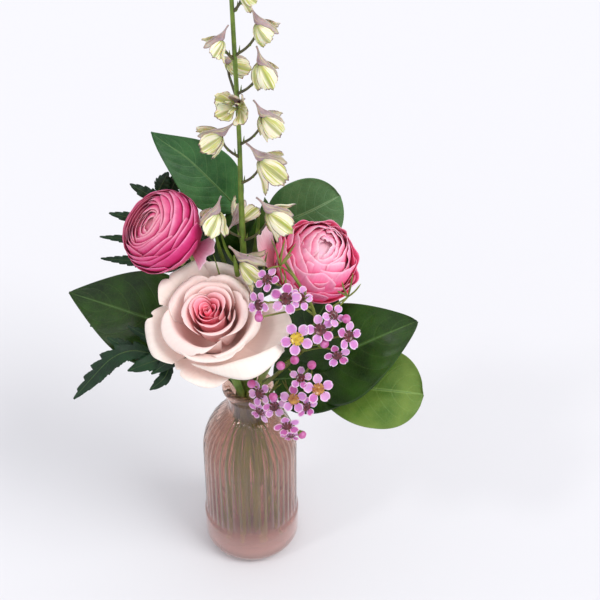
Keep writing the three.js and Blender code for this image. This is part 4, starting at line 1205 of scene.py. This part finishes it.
# Each leaf: where its stalk leaves the twig, its base and tip, the way its face looks, width, material.
# "blunt" is how round its outline is, "broadest" shifts its widest place, and "hook" bends its tip.
SALAL = [
    {
        "name": "salal_rear", "node": "salal_back",
        "path": [(7, 14, 175), (8, 34, 215), (4, 42, 250), (-2, 41, 274)],
        "leaves": [
            ((-2, 41, 274), (-4, 42, 279), (-57, 57, 334), (0.15, -0.8, 0.6), 40, FRESH, {"hook": 4}),
            ((6, 39, 236), (14, 52, 256), (63, 58, 278), (0.1, -0.93, 0.35), 50, SHADED,
             {"blunt": 0.95, "broadest": 1.25}),
            ((7, 36, 222), (2, 37, 222), (-8, 45, 286), (0.1, -0.9, 0.25), 42, DARK, {}),
            ((7, 30, 208), (2, 31, 211), (-40, 36, 272), (-0.2, -0.9, 0.35), 36, DARK, {}),
            ((7, 30, 206), (8, 31, 209), (13, 40, 290), (0.3, -0.9, 0.35), 40, DARK, {}),
        ],
    },
    {
        "name": "salal_leftward", "node": "salal_left",
        "path": [(-13, 6, 167), (-24, 12, 175)],
        "leaves": [
            ((-24, 12, 175), (-32, 14, 189), (-120, 22, 223), (0.2, -0.7, 0.7), 65, DARK, {}),
        ],
    },
    {
        "name": "salal_rightward", "node": "salal_right",
        "path": [(13, -7, 168), (26, -9, 174)],
        "leaves": [
            ((26, -9, 174), (36, -9, 175), (113, -14, 230), (-0.25, -0.65, 0.7), 68, DARK,
             {"blunt": 0.2}),
            ((26, -9, 174), (28, -4, 178), (60, 3, 246), (-0.1, -0.8, 0.5), 52, DARK, {}),
            ((14, -8, 168.5), (18, -12, 174), (82, -16, 182), (-0.1, -0.62, 0.78), 52, DARK,
             {"blunt": 0.7}),
            ((18, -8, 170), (44, -13, 169), (118, -38, 186), (-0.1, -0.6, 0.8), 54, LIGHT,
             {"blunt": 0.95, "broadest": 1.7}),
        ],
    },
]


def salal_leaf(base, tip, up, width, blunt=0.0, broadest=0.8, hook=0.0):
    """A leaf that arches from base to tip, folded a little at its midrib and quilted by its veins."""
    length = np.linalg.norm(tip - base)
    along = unit(tip - base)
    across = unit(np.cross(up, along))
    normal = np.cross(along, across)

    def surface(s, t):
        grown = np.clip(t, 0, 1) ** broadest
        pointed = np.sin(math.pi * grown) ** 0.8 * (1 - 0.28 * t ** 3)
        rounded = np.sqrt(np.clip(1 - np.abs(2 * grown - 1) ** 2.3, 0, 1))
        half = width / 2 * np.maximum((1 - blunt) * pointed + blunt * rounded, 0.02)
        quilt = 0.3 * np.cos(2 * math.pi * 8 * (t - 0.32 * np.abs(s) ** 1.4)) * np.abs(s) * (1 - s * s)
        lift = (length * 0.1 * np.sin(math.pi * t) + half * 0.2 * np.abs(s) ** 1.15 + quilt
                + 1.5 * np.sin(5 * t + 1 + 2 * s) * s * s)
        sideways = half * s + hook * smooth(0.6, 1, t)
        return shifted(base, (along, length * t), (across, sideways), (normal, lift))

    return surface


def make_salal(spray, materials):
    piece = Piece()
    add_stem(piece, spray["node"], spray["path"], sides=12, taper=0.8)
    for number, (start, base, tip, up, width, kind, outline) in enumerate(spray["leaves"]):
        base, tip = vec(*base), vec(*tip)
        surface = salal_leaf(base, tip, up, width, **outline)
        add_sheet(piece, surface, 40, 90, 0.6, chance=0.3 * number, kind=kind)
        stalk = smooth_path([start, base, base + 5 * unit(tip - base)], 14)
        midrib = surface(np.zeros(40), np.linspace(0.01, 0.9, 40))
        add_tube(piece, stalk, np.linspace(1.2, 0.8, 14), 10, kind=TWIG)
        add_tube(piece, midrib, np.linspace(0.8, 0.3, 40), 8, kind=RIB)
    piece.make(spray["name"], spray["node"], "salal_leaf", materials)


# ---------------------------------------------------------------- leatherleaf fern

FERNS = [
    {
        "name": "fern_lower", "node": "fern_low", "seed": 41, "up": (-0.1, -0.7, 0.7),
        "path": [(-13, -3, 166), (-32, -12, 184), (-58, -19, 203), (-84, -21.5, 204),
                 (-106, -24, 182)],
        "blades": [  # path, width, teeth, and how deep they are cut on the upper and the lower side
            ([(-58, -20, 205), (-74, -21, 210), (-87, -22, 205), (-104, -24, 186), (-117.5, -25, 168)],
             15, 7, (0.5, 0.12)),
            ([(-46, -22, 205), (-60, -27, 206), (-78, -29, 199)], 12, 3, (0.12, 0.2)),
            ([(-32, -14, 190), (-46, -28, 209), (-62, -33, 200)], 13, 3, (0.15, 0.2)),
            ([(-44, -16, 194), (-58, -12, 208), (-78, -8, 220)], 11, 5, (0.3, 0.3)),
            ([(-66, -20, 198), (-78, -15, 206), (-92, -11, 212)], 10, 4, (0.3, 0.3)),
            ([(-50, -18, 196), (-54, -26, 190), (-64, -32, 184)], 9, 3, (0.2, 0.2)),
        ],
        "pinnae": [],
    },
    {
        "name": "fern_rear", "node": "fern_back", "seed": 42, "up": (0.1, -0.8, 0.6),
        "path": [(-3, 24, 190), (-20, 38, 232), (-42, 42, 268), (-58, 40, 298)],
        "blades": [],
        "pinnae": [  # share of the rib where each starts, its tip and its width
            (0.22, (-112, 38, 177), 13), (0.3, (-84, 40, 205), 12), (0.5, (-98, 34, 243), 12),
            (0.62, (-97, 34, 262), 10), (0.72, (-89, 34, 282), 13), (0.88, (-74, 38, 303), 11),
            (0.98, (-49, 40, 311), 11), (0.92, (-41, 42, 311), 11), (0.85, (-30, 43, 300), 12),
            (0.65, (-20, 46, 294), 11), (0.45, (6, 50, 262), 11),
        ],
    },
]


def blade(centres, up, width, teeth, depth):
    """A fern blade along centres, with teeth that point forward; depth is how deep each side is cut."""
    ahead = unit(np.gradient(centres, axis=0))

    def surface(s, t):
        along = unit(on_line(ahead, t))
        across = unit(np.cross(up, along))
        normal = np.cross(along, across)
        envelope = width / 2 * np.sin(math.pi * (0.1 + 0.88 * t) ** 0.9) ** 0.85
        saw = (t * teeth + 0.3 * np.sign(s)) % 1.0
        fine = 0.04 * np.sin(t * teeth * 22)
        cut = np.where(s < 0, *depth) * (1 - saw) ** 1.3
        half = envelope * (1 - np.abs(s) * (cut + fine * (1 - t)))
        forward = 0.5 * np.abs(s) * half * (1 - t)
        ripple = 0.4 * np.sin(2 * math.pi * t * teeth)
        lift = 0.06 * width * np.sin(3 * t + 1) + np.abs(s) * (ripple - 0.14 * half)
        return shifted(on_line(centres, t), (along, forward), (across, half * s), (normal, lift))

    return surface


def make_fern(frond, materials):
    random = np.random.default_rng(frond["seed"])
    piece = Piece()
    add_stem(piece, frond["node"], frond["path"], sides=12, taper=0.5)
    line = beyond_neck(frond["node"], frond["path"], 401)
    blades = [(smooth_path(path, 40), *shape) for path, *shape in frond["blades"]]
    for share, tip, width in frond["pinnae"]:
        root, tip = line[round(share * (len(line) - 1))], vec(*tip)
        length = np.linalg.norm(tip - root)
        middle = (root + tip) / 2 + vec(0, -2, 0.05 * length)
        teeth = max(5, round(length / 5.5))
        blades.append((smooth_path([root, middle, tip], 40), width, teeth, (0.26, 0.26)))
    for centres, width, teeth, depth in blades:
        surface = blade(centres, frond["up"], width, teeth, depth)
        add_sheet(piece, surface, 8, teeth * 11, 0.5, chance=random.random(), kind=1)
        rib = surface(np.zeros(20), np.linspace(0, 0.92, 20))
        add_tube(piece, rib, np.linspace(0.6, 0.25, 20), 6)
    piece.make(frond["name"], frond["node"], "fern_leaf", materials)


# ---------------------------------------------------------------- the object

def wax_materials():
    return [
        stem_material("waxflower_green", (128, 142, 58), (92, 84, 40), (150, 152, 96)),
        wax_petal_material(),
        grained_material("waxflower_cup", (52, 8, 20), (116, 30, 42), 400.0, 0.3, Coat_Weight=0.4),
        grained_material("waxflower_yellow", (190, 146, 12), (224, 196, 58), 500.0, 0.3, Coat_Weight=0.4),
        grained_material("waxflower_amber", (140, 62, 24), (206, 150, 62), 420.0, 0.3, Coat_Weight=0.4),
        grained_material("waxflower_anther", (74, 24, 26), (150, 96, 76), 600.0, 0.5),
        grained_material("waxflower_bud", (176, 56, 124), (206, 124, 182), 300.0, 0.4),
    ]


def salal_materials():
    return [
        stem_material("salal_twig", (110, 122, 58), (74, 70, 40), (190, 186, 140)),
        leaf_material("salal_fresh", (30, 74, 34), (62, 112, 58), (106, 146, 88), 0.36),
        leaf_material("salal_dark", (17, 42, 4), (42, 77, 11), (74, 108, 40), 0.3),
        grained_material("salal_rib", (56, 92, 42), (88, 122, 62), 200.0, 0.4),
        leaf_material("salal_light", (72, 106, 32), (108, 134, 54), (132, 160, 84), 0.4),
        leaf_material("salal_shaded", (46, 86, 44), (84, 124, 72), (130, 164, 116), 0.42, veins=0.1),
    ]


def fern_materials():
    return [
        stem_material("fern_rib", (66, 92, 44), (36, 62, 28), (110, 124, 80)),
        leaf_material("fern_green", (8, 36, 18), (24, 64, 30), (44, 84, 44), 0.4,
                      side_veins=11.0, veins=0.1),
    ]


def make_each(make, kinds, *shared):
    for kind in kinds:
        make(kind, *shared)


def make_arrangement():
    make_vase()
    make_water()
    make_rose_stem()
    make_rose_bloom()
    make_each(make_ranunculus, RANUNCULUS)
    make_each(make_ranunculus_stem, RANUNCULUS)
    make_delphinium()
    make_each(make_waxflower, (WAX_FRONT, WAX_UPPER), wax_materials())
    make_each(make_salal, SALAL, salal_materials())
    make_each(make_fern, FERNS, fern_materials())


# ---------------------------------------------------------------- stage, light and camera

STAGE_REACH = 20.0
CAMERA_PLACE = (0.0362, -0.735, 0.8978)
CAMERA_PITCH = 42  # degrees down from level
CAMERA_LENS = 90


def make_stage():
    corners = [(x * STAGE_REACH, y * STAGE_REACH, 0) for x, y in ((-1, -1), (1, -1), (1, 1), (-1, 1))]
    mesh = bpy.data.meshes.new("floor")
    mesh.from_pydata(corners, [], [(0, 1, 2, 3)])
    n = Nodes("floor", Specular_IOR_Level=0.0, Roughness=0.8)
    n.colour((221, 221, 224))
    mesh.materials.append(n.material)
    floor = add_to_scene("floor", mesh)


def add_sun(name, direction, spread, strength):
    """A light that comes from direction; spread is how wide it looks, in degrees."""
    light = bpy.data.lights.new(name, "SUN")
    light.energy = strength
    light.angle = math.radians(spread)
    lamp = add_to_scene(name, light)
    lamp.rotation_euler = Vector(direction).to_track_quat("Z", "Y").to_euler()


def make_lights():
    world = bpy.data.worlds.new("studio")
    world.use_nodes = True
    sky = world.node_tree.nodes["Background"]
    sky.inputs["Color"].default_value = (1.0, 0.995, 1.03, 1.0)
    sky.inputs["Strength"].default_value = 0.89
    bpy.context.scene.world = world
    add_sun("key", (0.85, -0.5, 1.15), 30, 1.5)
    add_sun("glint", (-0.85, -0.5, 1.15), 8, 0.3)


def make_camera():
    camera = add_to_scene("camera", bpy.data.cameras.new("camera"))
    camera.location = CAMERA_PLACE
    camera.rotation_euler = (math.radians(90 - CAMERA_PITCH), 0, 0)
    camera.data.lens = CAMERA_LENS
    camera.data.sensor_width = 36
    bpy.context.scene.camera = camera
    bpy.context.scene.view_settings.view_transform = "Standard"


make_camera()
make_arrangement()
make_stage()
make_lights()
